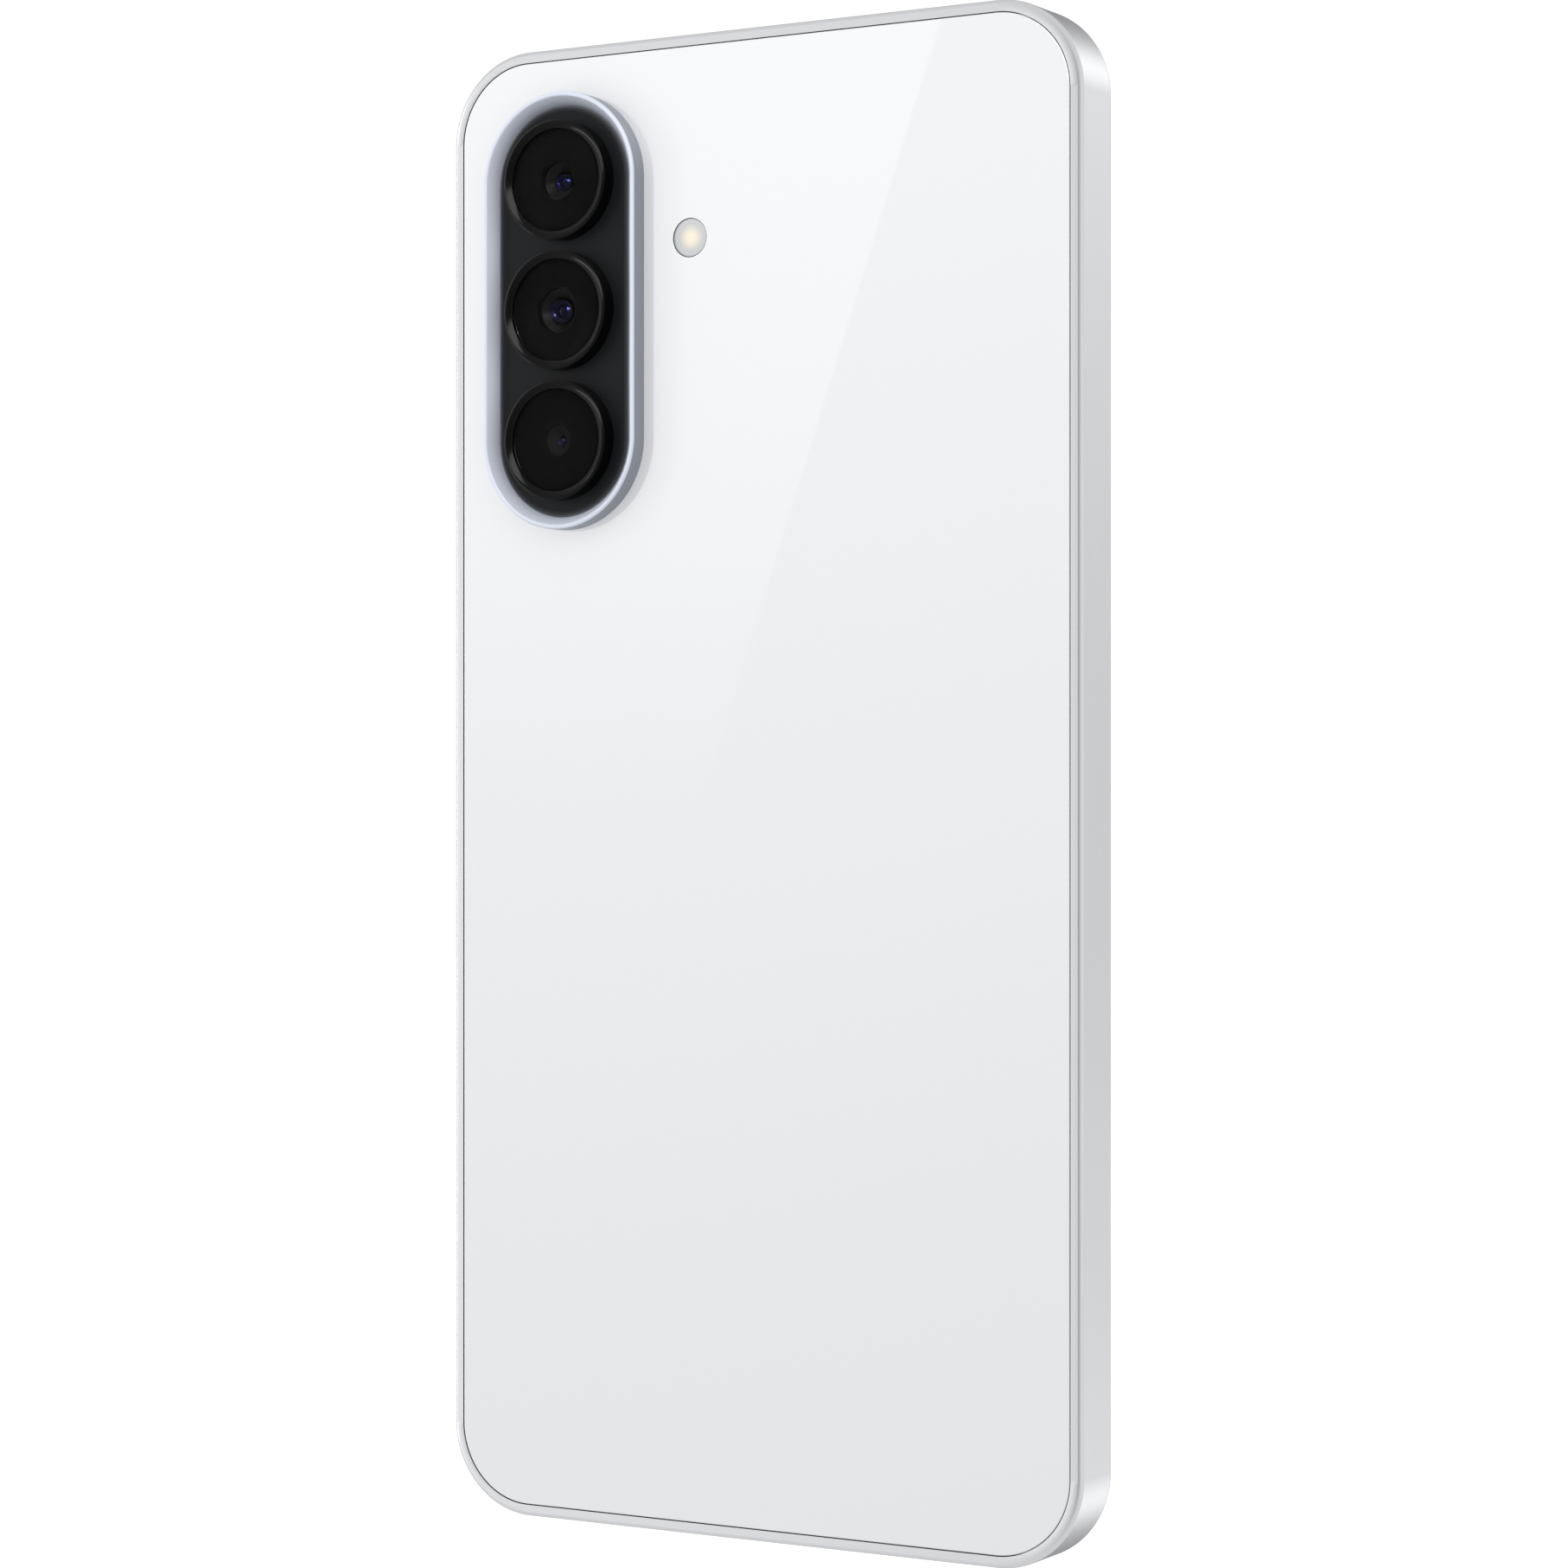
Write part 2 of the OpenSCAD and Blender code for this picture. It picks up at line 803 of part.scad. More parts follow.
module antenna_cable() {
    color("black") upright() {
        translate([coax_x, coax_y[1], coax_z])
            rotate([90, 0, 0]) cylinder(r = coax_r, h = coax_y[1] - coax_y[0]);
        for (y = coax_y)
            post([coax_x, y], coax_plug_r, [coax_z - coax_r, board_z]);
    }
}

module sub_board() {
    port_cut = port_w / 2 + port_gasket_w + cut_gap / 2;
    color("seagreen") upright() difference() {
        inside(wall_t + board_gap) block(sub_zone);
        block([[-port_cut, port_cut], [-body_h, port_back_y + cut_gap], [0, body_t]]);
        for (at = speaker_screws)
            post(at, post_r + post_gap, [0, body_t]);
    }
}

module port_sleeve() {
    color("silver") upright() translate([0, 0, centre_z]) {
        along_y(port_back_y, port_back_y - port_front_y) difference() {
            pill(port_w, port_t);
            pill(port_w - 2 * port_wall, port_t - 2 * port_wall);
        }
    }
}

module port_tongue() {
    walls = 2 * (port_wall + hair);
    root_y = port_back_y - port_base_l;
    color("black") upright() translate([0, 0, centre_z]) {
        along_y(port_back_y, port_base_l) pill(port_w - walls, port_t - walls);
        along_y(root_y, root_y - port_front_y - tongue_set_back)
            square([tongue_w, tongue_t], center = true);
    }
}

module port_gasket() {
    color("dimgray") upright() translate([0, 0, centre_z])
        along_y(-inner_y + port_gasket_l, port_gasket_l - hair) difference() {
            pill(port_w + 2 * port_gasket_w, port_t + 2 * port_gasket_w);
            pill(port_w + 2 * hair, port_t + 2 * hair);
        }
}

module loudspeaker_box() {
    x = speaker_zone[0];
    y = speaker_zone[1];
    z = speaker_zone[2];
    w = speaker_wall;
    color("dimgray") upright() {
        difference() {
            union() {
                difference() {
                    inside(ledge_w + post_gap) block(speaker_zone);
                    block([[x[0] + w, x[1] - w], [y[0] + w, y[1] - w], [z[0] + w, z[1] - w]]);
                }
                for (at = speaker_screws)
                    post(at, post_r + post_gap + screw_boss, z);
            }
            block(speaker_throat);
            for (at = speaker_screws) {
                post(at, screw_bore_r + seat_gap, [0, body_t]);
                post(at, screw_head_r + seat_gap, [0, box_seat_z + screw_head_t]);
                post(at, post_r + post_gap, [post_z, body_t]);
            }
        }
        post(cone_at, magnet_r, [magnet_z, z[1] - w]);
    }
}

module loudspeaker_cone() {
    x = cone_zone[0];
    y = cone_zone[1];
    color("darkgray") upright() translate([cone_at[0], cone_at[1], 0]) {
        layer(cone_zone[2]) rounded(x[1] - x[0], y[1] - y[0], cone_r);
        translate([0, 0, cone_zone[2][1]])
            linear_extrude(coil_l) difference() {
                circle(coil_r);
                circle(coil_r - coil_wall);
            }
    }
}

module loudspeaker_mesh() {
    span = (grille_holes - 1) * grille_pitch;
    color("black") upright() translate([grille_x + span / 2, 0, centre_z])
        along_y(-inner_y + mesh_t + hair, mesh_t)
            square([span + grille_w + mesh_over, grille_t + mesh_over], center = true);
}

// A microphone with its port facing an edge of the phone
module microphone(x, y, outwards) {
    color("gold") upright() translate([x, y, centre_z]) difference() {
        translate([-mic_size[0] / 2, outwards > 0 ? -mic_size[1] : 0, -mic_size[2] / 2])
            cube([mic_size[0], mic_size[1], board_z - centre_z + mic_size[2] / 2]);
        translate([0, mic_port_l, 0])
            rotate([90, 0, 0]) cylinder(r = mic_port_r, h = 2 * mic_port_l);
    }
}

module bottom_microphone() {
    microphone(mic_x, -inner_y + 0.1, -1);
}

module top_microphone() {
    microphone(top_mic_x, inner_y - 0.1, 1);
}

module vibration_can() {
    x = motor_zone[0];
    y = motor_zone[1];
    z = motor_zone[2];
    w = motor_wall;
    color("silver") upright() difference() {
        block(motor_zone);
        block([[x[0] + w, x[1] - w], [y[0] + w, y[1] - w], [z[0] + w, z[1] - w]]);
    }
}

module vibration_mass() {
    color("gray") upright() block(mass_zone);
}

module sim_tray() {
    head_y = -body_h / 2 + tray_head_l;
    card_x = (tray_x[0] + tray_x[1] - card_size[0]) / 2;
    color("silver") upright() difference() {
        union() {
            translate([tray_head_x, 0, centre_z])
                along_y(head_y + hair, tray_head_l) pill(tray_head_w, tray_head_t);
            block([tray_x, [head_y, tray_tail_y], [centre_z - tray_t / 2, centre_z + tray_t / 2]]);
        }
        translate([rod_x, -inner_y + past, centre_z])
            rotate([90, 0, 0]) cylinder(r = eject_hole_r, h = wall_t + 2 * past);
        for (i = [0, 1])
            translate([
                card_x,
                card_y[i] - card_size[1] / 2,
                i == 0 ? centre_z - tray_t : centre_z + tray_t / 2 - card_pocket
            ])
                cube([card_size[0], card_size[1], i == 0 ? tray_t / 2 + card_pocket : tray_t]);
        translate([tray_head_x, 0, centre_z])
            along_y(seal_y + seal_l, seal_l) difference() {
                pill(tray_head_w + past, tray_head_t + past);
                pill(tray_head_w - 2 * seal_depth, tray_head_t - 2 * seal_depth);
            }
    }
}

module sim_tray_seal() {
    color("black") upright() translate([tray_head_x, 0, centre_z])
        along_y(seal_y + seal_l, seal_l) difference() {
            pill(tray_head_w + slide_gap, tray_head_t + slide_gap);
            pill(tray_head_w - 2 * seal_depth, tray_head_t - 2 * seal_depth);
        }
}

module sim_reader() {
    w = reader_wall;
    foot_x = [lever_at[0] - pivot_boss_r, lever_at[0] + pivot_boss_r];
    foot_z = [lever_z[1] + seat_gap, board_z];
    guide_x = [reader_x[1] - w, rod_x + guide_half];
    color("silver") upright() {
        difference() {
            union() {
                block([reader_x, reader_y, reader_z]);
                block([guide_x, guide_y, [centre_z - guide_half, board_z]]);
                post(lever_at, pivot_boss_r, foot_z);
                block([foot_x, [reader_y[1] - reader_foot, lever_at[1]], foot_z]);
            }
            block([
                [reader_x[0] + w, reader_x[1] - w],
                [reader_y[0] - past, reader_open_y[1]],
                [reader_z[0] + w, reader_z[1] - w]
            ]);
            block([
                [reader_x[0] + w, reader_x[1] - w],
                [reader_open_y[0], reader_y[1] + past],
                [reader_z[0] - past, foot_z[0]]
            ]);
            translate([rod_x, guide_y[1] + past, centre_z])
                rotate([90, 0, 0])
                    cylinder(r = rod_r + seat_gap, h = guide_y[1] - guide_y[0] + 2 * past);
        }
        post(lever_at, pivot_r, [lever_z[0] - pivot_lip, foot_z[0] + hair]);
    }
}

module sim_eject_rod() {
    color("silver") upright() translate([rod_x, rod_y[1], centre_z])
        rotate([90, 0, 0]) cylinder(r = rod_r, h = rod_y[1] - rod_y[0]);
}

module sim_eject_lever() {
    half = lever_arm + lever_tip;
    color("silver") upright() difference() {
        union() {
            block([
                [lever_at[0] - half, lever_at[0] + half],
                [lever_at[1] - lever_half, lever_at[1] + lever_half],
                lever_z
            ]);
            post(lever_at, pivot_boss_r, lever_z);
        }
        post(lever_at, pivot_r + seat_gap, [0, body_t]);
    }
}

// A side button: cap through the wall, flange behind it and nubs that press the domes
module button(y, length, flange_x, nubs) {
    cap_end = body_w / 2 + button_rise;
    cap_start = flange_x + flange_t - hair;
    crown = button_crown;
    color("silver") upright() {
        along_x(cap_start, cap_end - crown - cap_start)
            at_side(y) pill(length, button_w);
        along_x(cap_end - crown, crown)
            at_side(y) pill(length - 2 * crown, button_w - 2 * crown);
        along_x(flange_x, flange_t)
            at_side(y) pill(length + 2 * flange_over, button_w + 2 * flange_over);
        for (offset = nubs)
            translate([flange_x - nub_l, y + offset, centre_z])
                rotate([0, 90, 0]) cylinder(r = nub_r, h = nub_l);
    }
}

module power_button() {
    button(power_y, power_l, power_flange_x, [0]);
}

module volume_button() {
    button(volume_y, volume_l, volume_flange_x, [-volume_nub, volume_nub]);
}

module side_key_flex() {
    keys = [
        [power_y, power_flange_x],
        [volume_y - volume_nub, volume_flange_x],
        [volume_y + volume_nub, volume_flange_x]
    ];
    low = power_y - key_flex_over;
    high = volume_y + volume_nub + key_flex_over;
    flex_z = [centre_z - key_flex_w / 2, centre_z + key_flex_w / 2];
    color("orange") upright() {
        block([[key_flex_x - key_flex_t, key_flex_x], [low, high], flex_z]);
        for (key = keys)
            translate([key_flex_x, key[0], centre_z])
                rotate([0, 90, 0])
                    cylinder(r = dome_r, h = key[1] - nub_l - dome_reach - key_flex_x);
    }
}

module front_glass() {
    slit = earpiece_w + 2 * seat_gap;
    color("black") upright() difference() {
        layer([body_t - glass_t, body_t]) outline(front_inset);
        block([
            [-slit / 2, slit / 2],
            [body_h / 2 - front_inset - earpiece_t - seat_gap, body_h / 2],
            [0, body_t + past]
        ]);
    }
}

module display_panel() {
    color("midnightblue") upright() difference() {
        layer([display_z, display_z + display_t]) outline(display_inset);
        post([0, front_camera_y], punch_r, [0, body_t]);
    }
}

module display_backing() {
    color("peru") upright() difference() {
        layer([mid_z + mid_t, display_z]) outline(backing_inset);
        square_hole(front_camera_y, front_half);
        square_hole(sensor_y, sensor_half);
    }
}

module display_gasket() {
    color("black") upright() layer([front_ledge_z, body_t - glass_t]) difference() {
        outline(front_inset + gasket_inset);
        outline(ledge_w - ledge_lip);
        translate([0, body_h / 2])
            square([earpiece_w + 1, 2 * ledge_w], center = true);
    }
}

module front_camera() {
    lens_at = [0, front_camera_y];
    color("black") upright() {
        translate([0, front_camera_y, 0])
            block([[-front_half, front_half], [-front_half, front_half], front_box_z]);
        post(lens_at, front_lens_r, [front_box_z[1], body_t - glass_t - front_lens_gap]);
    }
}

module earpiece_mesh() {
    top = body_h / 2 - front_inset;
    color("black") upright() block([
        [-earpiece_w / 2, earpiece_w / 2],
        [top - earpiece_t, top],
        [body_t - glass_t, body_t - earpiece_sink]
    ]);
}

module earpiece_receiver() {
    color("dimgray") upright() block(receiver_zone);
}

module fingerprint_sensor() {
    color("black") upright() translate([0, sensor_y, 0])
        block([[-sensor_half, sensor_half], [-sensor_half, sensor_half], sensor_z]);
}

// One screw: flat head with a cross recess, and a plain shank
module screw(at, head_z) {
    difference() {
        union() {
            post(at, screw_head_r, [head_z, head_z + screw_head_t]);
            post(at, screw_r, [head_z + screw_head_t, screw_end_z]);
        }
        translate([at[0], at[1], head_z])
            for (turn = [0, 90])
                rotate(turn) cube(screw_slot, center = true);
    }
}

module board_screws() {
    color("silver") upright() {
        for (at = cover_screws)
            screw(at, cover_zone[2][0]);
        for (at = speaker_screws)
            screw(at, box_seat_z);
        for (at = bracket_screws)
            screw(at, bracket_seat_z);
    }
}

side_frame();
mid_plate();
rear_cover();
rear_cover_gasket();
camera_ring();
camera_plate();
top_lens_trim();
middle_lens_trim();
bottom_lens_trim();
top_lens_glass();
middle_lens_glass();
bottom_lens_glass();
flash_window();
flash_led();
ultrawide_housing();
ultrawide_lens();
main_camera_housing();
main_camera_barrel();
macro_housing();
macro_lens();
camera_bracket();
main_board();
processor();
processor_shield();
power_shield();
upper_cover();
nfc_coil();
battery_cell();
battery_pull_tab();
battery_flex();
main_flex();
antenna_cable();
sub_board();
port_sleeve();
port_tongue();
port_gasket();
loudspeaker_box();
loudspeaker_cone();
loudspeaker_mesh();
bottom_microphone();
top_microphone();
vibration_can();
vibration_mass();
sim_tray();
sim_tray_seal();
sim_reader();
sim_eject_rod();
sim_eject_lever();
power_button();
volume_button();
side_key_flex();
front_glass();
display_panel();
display_backing();
display_gasket();
front_camera();
earpiece_mesh();
earpiece_receiver();
fingerprint_sensor();
board_screws();
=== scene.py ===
# %% [markdown]
# # A slab phone, seen from the back
#
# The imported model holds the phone's real sizes: every body, every joint and every inner part.
# This script gives it its finishes. Where a part's surface is what the eye reads, such as the
# side frame, the back cover or the camera island, a finer mesh is worked out here and stands
# in for the plain part. The hidden parts keep their shapes and get their own finishes.

# %% Load the frame and note its box
import json
import math

import bmesh
import bpy
import numpy as np
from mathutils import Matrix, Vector

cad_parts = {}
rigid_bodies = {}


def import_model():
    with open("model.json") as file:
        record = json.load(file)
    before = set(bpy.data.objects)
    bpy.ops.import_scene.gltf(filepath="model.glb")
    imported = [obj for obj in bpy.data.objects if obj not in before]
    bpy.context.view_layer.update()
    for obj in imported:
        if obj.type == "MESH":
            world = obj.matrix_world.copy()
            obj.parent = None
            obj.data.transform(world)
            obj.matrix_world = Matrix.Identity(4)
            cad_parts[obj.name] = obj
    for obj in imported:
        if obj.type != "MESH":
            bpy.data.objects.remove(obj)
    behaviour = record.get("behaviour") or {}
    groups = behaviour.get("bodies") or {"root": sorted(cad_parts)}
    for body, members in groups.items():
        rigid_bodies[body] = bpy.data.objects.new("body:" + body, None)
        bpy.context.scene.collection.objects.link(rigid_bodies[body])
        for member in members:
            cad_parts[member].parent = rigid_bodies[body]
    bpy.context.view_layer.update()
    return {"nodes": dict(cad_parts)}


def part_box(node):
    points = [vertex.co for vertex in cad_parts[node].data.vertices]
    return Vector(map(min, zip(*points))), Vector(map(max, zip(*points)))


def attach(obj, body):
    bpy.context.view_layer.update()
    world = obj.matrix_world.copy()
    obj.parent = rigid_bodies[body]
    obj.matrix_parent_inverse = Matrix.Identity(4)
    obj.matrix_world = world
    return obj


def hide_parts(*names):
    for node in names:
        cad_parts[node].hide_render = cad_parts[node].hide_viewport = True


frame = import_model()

NODES = frame["nodes"]

# %% [markdown]
# ## Sizes
#
# All working sizes are in millimetres, because a phone is drawn in millimetres. They come from
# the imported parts' boxes, so a change to the design moves the finishes with it. The frame has
# x across the phone, y out of its back and z up towards the earpiece.

# %% Read the main sizes
MM = 0.001


def span(node):
    """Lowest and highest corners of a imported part, in mm."""
    low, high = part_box(node)
    return np.array(low) / MM, np.array(high) / MM


def middle(node):
    """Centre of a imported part's box, in mm."""
    low, high = span(node)
    return (low + high) / 2


frame_low, frame_high = span("side_frame")
BODY_W, BODY_T, BODY_H = frame_high - frame_low
CENTRE_Y = (frame_low[1] + frame_high[1]) / 2
CORNER_R = 9.9
EDGE_R = 0.68
RIM_W = 1.28
WALL_T = 2.4
ring_low, ring_high = span("camera_ring")
ISLAND_W, ISLAND_H = (ring_high - ring_low)[[0, 2]]
ISLAND_X, ISLAND_Z = middle("camera_ring")[[0, 2]]
print(f"body {BODY_W:.1f} x {BODY_T:.1f} x {BODY_H:.1f} mm, island {ISLAND_W:.1f} x {ISLAND_H:.1f} mm")

# %% [markdown]
# ## Turning formulas into meshes
#
# Nearly every outside part of the phone is a section carried round an outline: the frame, the
# ring, the glass edges, the buttons. So one grid of points serves them all. The outline gives a
# point P and an outward normal N at each step, the section gives a distance d and a height w,
# and the surface is P + d N at height w. Faces are worked out as whole arrays.


# %% Outlines and sections
def turn(degrees):
    """Unit vectors (cos a, sin a) for an array of angles in degrees."""
    angle = np.radians(degrees)
    return np.stack([np.cos(angle), np.sin(angle)], -1)


def outline(width, height, radius, steps=24):
    """A rounded rectangle as (points, outward normals): each corner's centre plus the radius
    times the unit vector that sweeps its quarter turn."""
    normal = turn(np.arange(4)[:, None] * 90 + np.linspace(0, 90, steps + 1))
    corner = np.array([[1, 1], [-1, 1], [-1, -1], [1, -1]])
    centre = corner * [width / 2 - radius, height / 2 - radius]
    points = centre[:, None] + radius * normal
    return points.reshape(-1, 2), normal.reshape(-1, 2)


def circle(steps=96):
    """A turning profile: all points at the centre, with normals all round, so that the
    section's d is the radius itself."""
    normal = turn(np.arange(steps) * 360 / steps)
    return np.zeros_like(normal), normal


def arc(centre, radius, start, end, steps=6):
    """Points on an arc of a section, from one angle to another in degrees."""
    return np.array(centre) + radius * turn(np.linspace(start, end, steps + 1))


def section(*parts):
    """Joins points and arcs into one section of (d, w) rows."""
    return np.concatenate([np.atleast_2d(np.asarray(part, float)) for part in parts])


def grid_faces(rows, cols, closed):
    """Quads of a grid that is closed round its rows and, if closed, round its columns."""
    r, c = np.meshgrid(np.arange(rows), np.arange(cols if closed else cols - 1), indexing="ij")
    r2, c2 = (r + 1) % rows, (c + 1) % cols
    return np.stack([r * cols + c, r2 * cols + c, r2 * cols + c2, r * cols + c2], -1).reshape(-1, 4)


# Which of (u, v, w) becomes x, y and z on each side of the phone
BACK, SIDE, FOOT = [0, 2, 1], [2, 1, 0], [0, 1, 2]


def sweep(shape, profile, at=(0, 0, 0), axes=BACK, closed=True):
    """Points and faces of profile carried round shape: (u, v) = P + d N, w from the profile.
    An open profile gets a flat cap over its first and its last row."""
    points, normals = shape
    d, w = profile[:, 0], profile[:, 1]
    uv = points[:, None] + d[None, :, None] * normals[:, None]
    grid = np.concatenate([uv, np.broadcast_to(w, uv.shape[:2])[..., None]], -1)
    rows, cols = grid.shape[:2]
    faces = grid_faces(rows, cols, closed).tolist()
    if not closed:
        faces.append((np.arange(rows) * cols).tolist())
        faces.append((np.arange(rows) * cols + cols - 1).tolist())
    return grid.reshape(-1, 3)[:, axes] + at, faces


# %% [markdown]
# ## From mesh to piece
#
# A piece is a mesh with a finish that rides on a body of the frame. Points that meet at a pole
# or a seam are merged, and the faces are turned outwards once, while the solid is still simple.
# Holes are cut with Boolean solids, and a narrow bevel then catches the light along each edge,
# as the small chamfer of a real machined or moulded part does.


# %% Piece helpers
def new_object(name, points, faces):
    """A mesh object from points in mm, with doubles merged and faces turned outwards."""
    mesh = bpy.data.meshes.new(name)
    mesh.from_pydata((np.asarray(points) * MM).tolist(), [], faces)
    work = bmesh.new()
    work.from_mesh(mesh)
    bmesh.ops.remove_doubles(work, verts=work.verts, dist=2e-7)
    bmesh.ops.recalc_face_normals(work, faces=work.faces)
    work.to_mesh(mesh)
    work.free()
    obj = bpy.data.objects.new(name, mesh)
    bpy.context.scene.collection.objects.link(obj)
    return obj


def settle(obj):
    """Replaces the object's mesh by what its modifiers make of it."""
    bpy.context.view_layer.update()
    mesh = bpy.data.meshes.new_from_object(obj.evaluated_get(bpy.context.evaluated_depsgraph_get()))
    obj.modifiers.clear()
    obj.data = mesh
    return obj


def cut(obj, *cutters):
    """Takes the cutter solids out of obj and removes them."""
    for cutter in cutters:
        hole = obj.modifiers.new("hole", "BOOLEAN")
        hole.operation, hole.solver, hole.object = "DIFFERENCE", "EXACT", cutter
    settle(obj)
    for cutter in cutters:
        bpy.data.objects.remove(cutter)
    return obj


def soften(obj, width=0.06, angle=32, segments=2):
    """A narrow bevel on every edge sharper than angle, with normals that keep flat faces flat."""
    bevel = obj.modifiers.new("edge", "BEVEL")
    bevel.limit_method, bevel.angle_limit = "ANGLE", math.radians(angle)
    bevel.width, bevel.segments = width * MM, segments
    bevel.use_clamp_overlap = True
    for polygon in obj.data.polygons:
        polygon.use_smooth = True
    flat = obj.modifiers.new("shading", "WEIGHTED_NORMAL")
    flat.keep_sharp = False
    return settle(obj)


def smooth(obj, angle=35):
    """Smooth shading that breaks at edges sharper than angle."""
    obj.data.shade_smooth()
    obj.data.set_sharp_from_angle(angle=math.radians(angle))
    return obj


def piece(obj, material, body="phone", stands_for=()):
    """Gives a finished object its finish and its body, and hides the parts that it stands for."""
    obj.data.materials.clear()
    obj.data.materials.append(material)
    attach(obj, body)
    if stands_for:
        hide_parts(*stands_for)
    print(f"{obj.name}: {len(obj.data.polygons)} faces on {body}")
    return obj


def solid(name, shape, profile, at=(0, 0, 0), axes=BACK, closed=True):
    """An object swept from an outline and a section."""
    return new_object(name, *sweep(shape, profile, at, axes, closed))


def bar(name, width, height, depth, at, axes=BACK, radius=0.3):
    """A cutter or block with an outline of width by height and from depth[0] to depth[1]."""
    edges = np.array([[0, depth[0]], [0, depth[1]]], float)
    return solid(name, outline(width, height, radius), edges, at, axes, closed=False)


# %% [markdown]
# ## Camera
#
# A moderately long lens a little over 40 cm away, level with the middle of the phone and turned
# some thirty degrees towards its buttonless side. The back, that long side and the outer wall of
# the camera island all show.

# %% Camera
FOCAL, SENSOR = 91.41, 36.0
DISTANCE = 428.0
TURN = math.radians(210.55)
SHIFT_X = 0.0196

camera_data = bpy.data.cameras.new("camera")
camera_data.lens, camera_data.sensor_width = FOCAL, SENSOR
camera_data.shift_x = SHIFT_X
camera_data.clip_start, camera_data.clip_end = 0.01, 20
camera = bpy.data.objects.new("camera", camera_data)
camera.location = Vector((math.sin(TURN), -math.cos(TURN), 0)) * DISTANCE * MM
camera.rotation_euler = (Vector((0, 0, 0)) - camera.location).to_track_quat("-Z", "Y").to_euler()
bpy.context.scene.collection.objects.link(camera)
bpy.context.scene.camera = camera
print("camera at", [round(c, 4) for c in camera.location])

# %% [markdown]
# ## Writing node trees
#
# The world, the card and every finish are node trees. A few short helpers add a node with its
# settings and inputs in one line, where a value may be a number or another node's output.


# %% Node helpers
def group(name, inputs, outputs):
    """A new shader node group with its sockets, and its input and output nodes."""
    tree = bpy.data.node_groups.new(name, "ShaderNodeTree")
    for socket, kind, value in inputs:
        made = tree.interface.new_socket(socket, in_out="INPUT", socket_type="NodeSocket" + kind)
        made.default_value = value
    for socket, kind in outputs:
        tree.interface.new_socket(socket, in_out="OUTPUT", socket_type="NodeSocket" + kind)
    return tree, tree.nodes.new("NodeGroupInput"), tree.nodes.new("NodeGroupOutput")


def node(tree, kind, values=None, **settings):
    """Adds a node, sets its properties and its inputs. A value may be a number or a socket."""
    made = tree.nodes.new("ShaderNode" + kind)
    for setting, value in settings.items():
        setattr(made, setting, value)
    for socket, value in (values or {}).items():
        if isinstance(value, bpy.types.NodeSocket):
            tree.links.new(value, made.inputs[socket])
        else:
            made.inputs[socket].default_value = value
    return made


def math_node(tree, operation, first, second=0.0, third=0.0):
    """The output of a Math node on up to three numbers or sockets."""
    return node(tree, "Math", {0: first, 1: second, 2: third}, operation=operation).outputs[0]


def object_coords(tree):
    """The piece's own coordinates, in metres."""
    return node(tree, "TexCoord").outputs["Object"]


def place(tree, name, values=()):
    """Puts one of the shared groups into a material."""
    return node(tree, "Group", dict(values), node_tree=bpy.data.node_groups[name])


def ramp(tree, value, stops):
    """A colour ramp of (position, colour) stops driven by a value."""
    made = node(tree, "ValToRGB", {"Fac": value})
    while len(made.color_ramp.elements) < len(stops):
        made.color_ramp.elements.new(1.0)
    for element, (position, colour) in zip(made.color_ramp.elements, stops):
        element.position, element.color = position, (*colour, 1)
    return made.outputs["Color"]


# %% [markdown]
# ## Light
#
# The set is a white tent. Metal and gloss show what they face, so the tent's brightness varies
# slowly with direction. It is darker towards the camera, where a real lens and operator stand,
# and straight in front of the screen, which keeps the dark glass dark. It is brighter behind
# the phone above and below, which lights the rounded corners. A large lamp above the back fades
# down the panel, and a tall strip on the button side draws the bright line along the island's
# peak. A strong lamp makes the glints in the lenses. A sloping card, out in front of the back
# on the button side, gives the gloss its long diagonal edge. The floor only shows itself: it
# lights nothing and throws no shadow.


# %% World
def world_lobe(tree, direction, sharpness, amount):
    """A soft spot of the tent: amount times the cosine to direction, raised to sharpness."""
    ray = node(tree, "TexCoord").outputs["Generated"]
    axis = Vector(direction).normalized()
    cosine = node(tree, "VectorMath", {0: ray, 1: axis}, operation="DOT_PRODUCT").outputs["Value"]
    peak = math_node(tree, "POWER", math_node(tree, "MAXIMUM", cosine, 0.0), sharpness)
    return math_node(tree, "MULTIPLY", peak, amount)


TENT = 0.80
TENT_LOBES = [
    ((-0.36, 0.93, 0.0), 6.0, -0.40),
    ((0.70, 0.71, 0.0), 8.0, 0.26),
    ((-1.0, 0.0, 0.0), 6.0, 0.12),
    ((-0.34, -0.86, 0.38), 40.0, 0.85),
    ((-0.34, -0.86, -0.38), 40.0, 0.70),
    ((0.35, -0.80, 0.48), 9.0, -0.20),
    ((0.35, -0.80, -0.48), 9.0, -0.18),
    ((0.30, -0.95, 0.0), 6.0, -0.55),
]
SEEN_WHITE = 1.05

world = bpy.data.worlds.new("white_tent")
world.use_nodes = True
bpy.context.scene.world = world
tree = world.node_tree
tree.nodes.clear()
total = TENT
for direction, sharpness, amount in TENT_LOBES:
    total = math_node(tree, "ADD", world_lobe(tree, direction, sharpness, amount), total)
WHITE = (1, 1, 1, 1)
tent = node(tree, "Background", {"Color": WHITE, "Strength": total})
seen = node(tree, "Background", {"Color": WHITE, "Strength": SEEN_WHITE})
by_camera = node(tree, "LightPath").outputs["Is Camera Ray"]
choose = node(tree, "MixShader", {0: by_camera, 1: tent.outputs[0], 2: seen.outputs[0]})
node(tree, "OutputWorld", {"Surface": choose.outputs[0]})
bpy.context.scene.view_settings.view_transform = "Standard"
print("tent lobes:", len(TENT_LOBES))


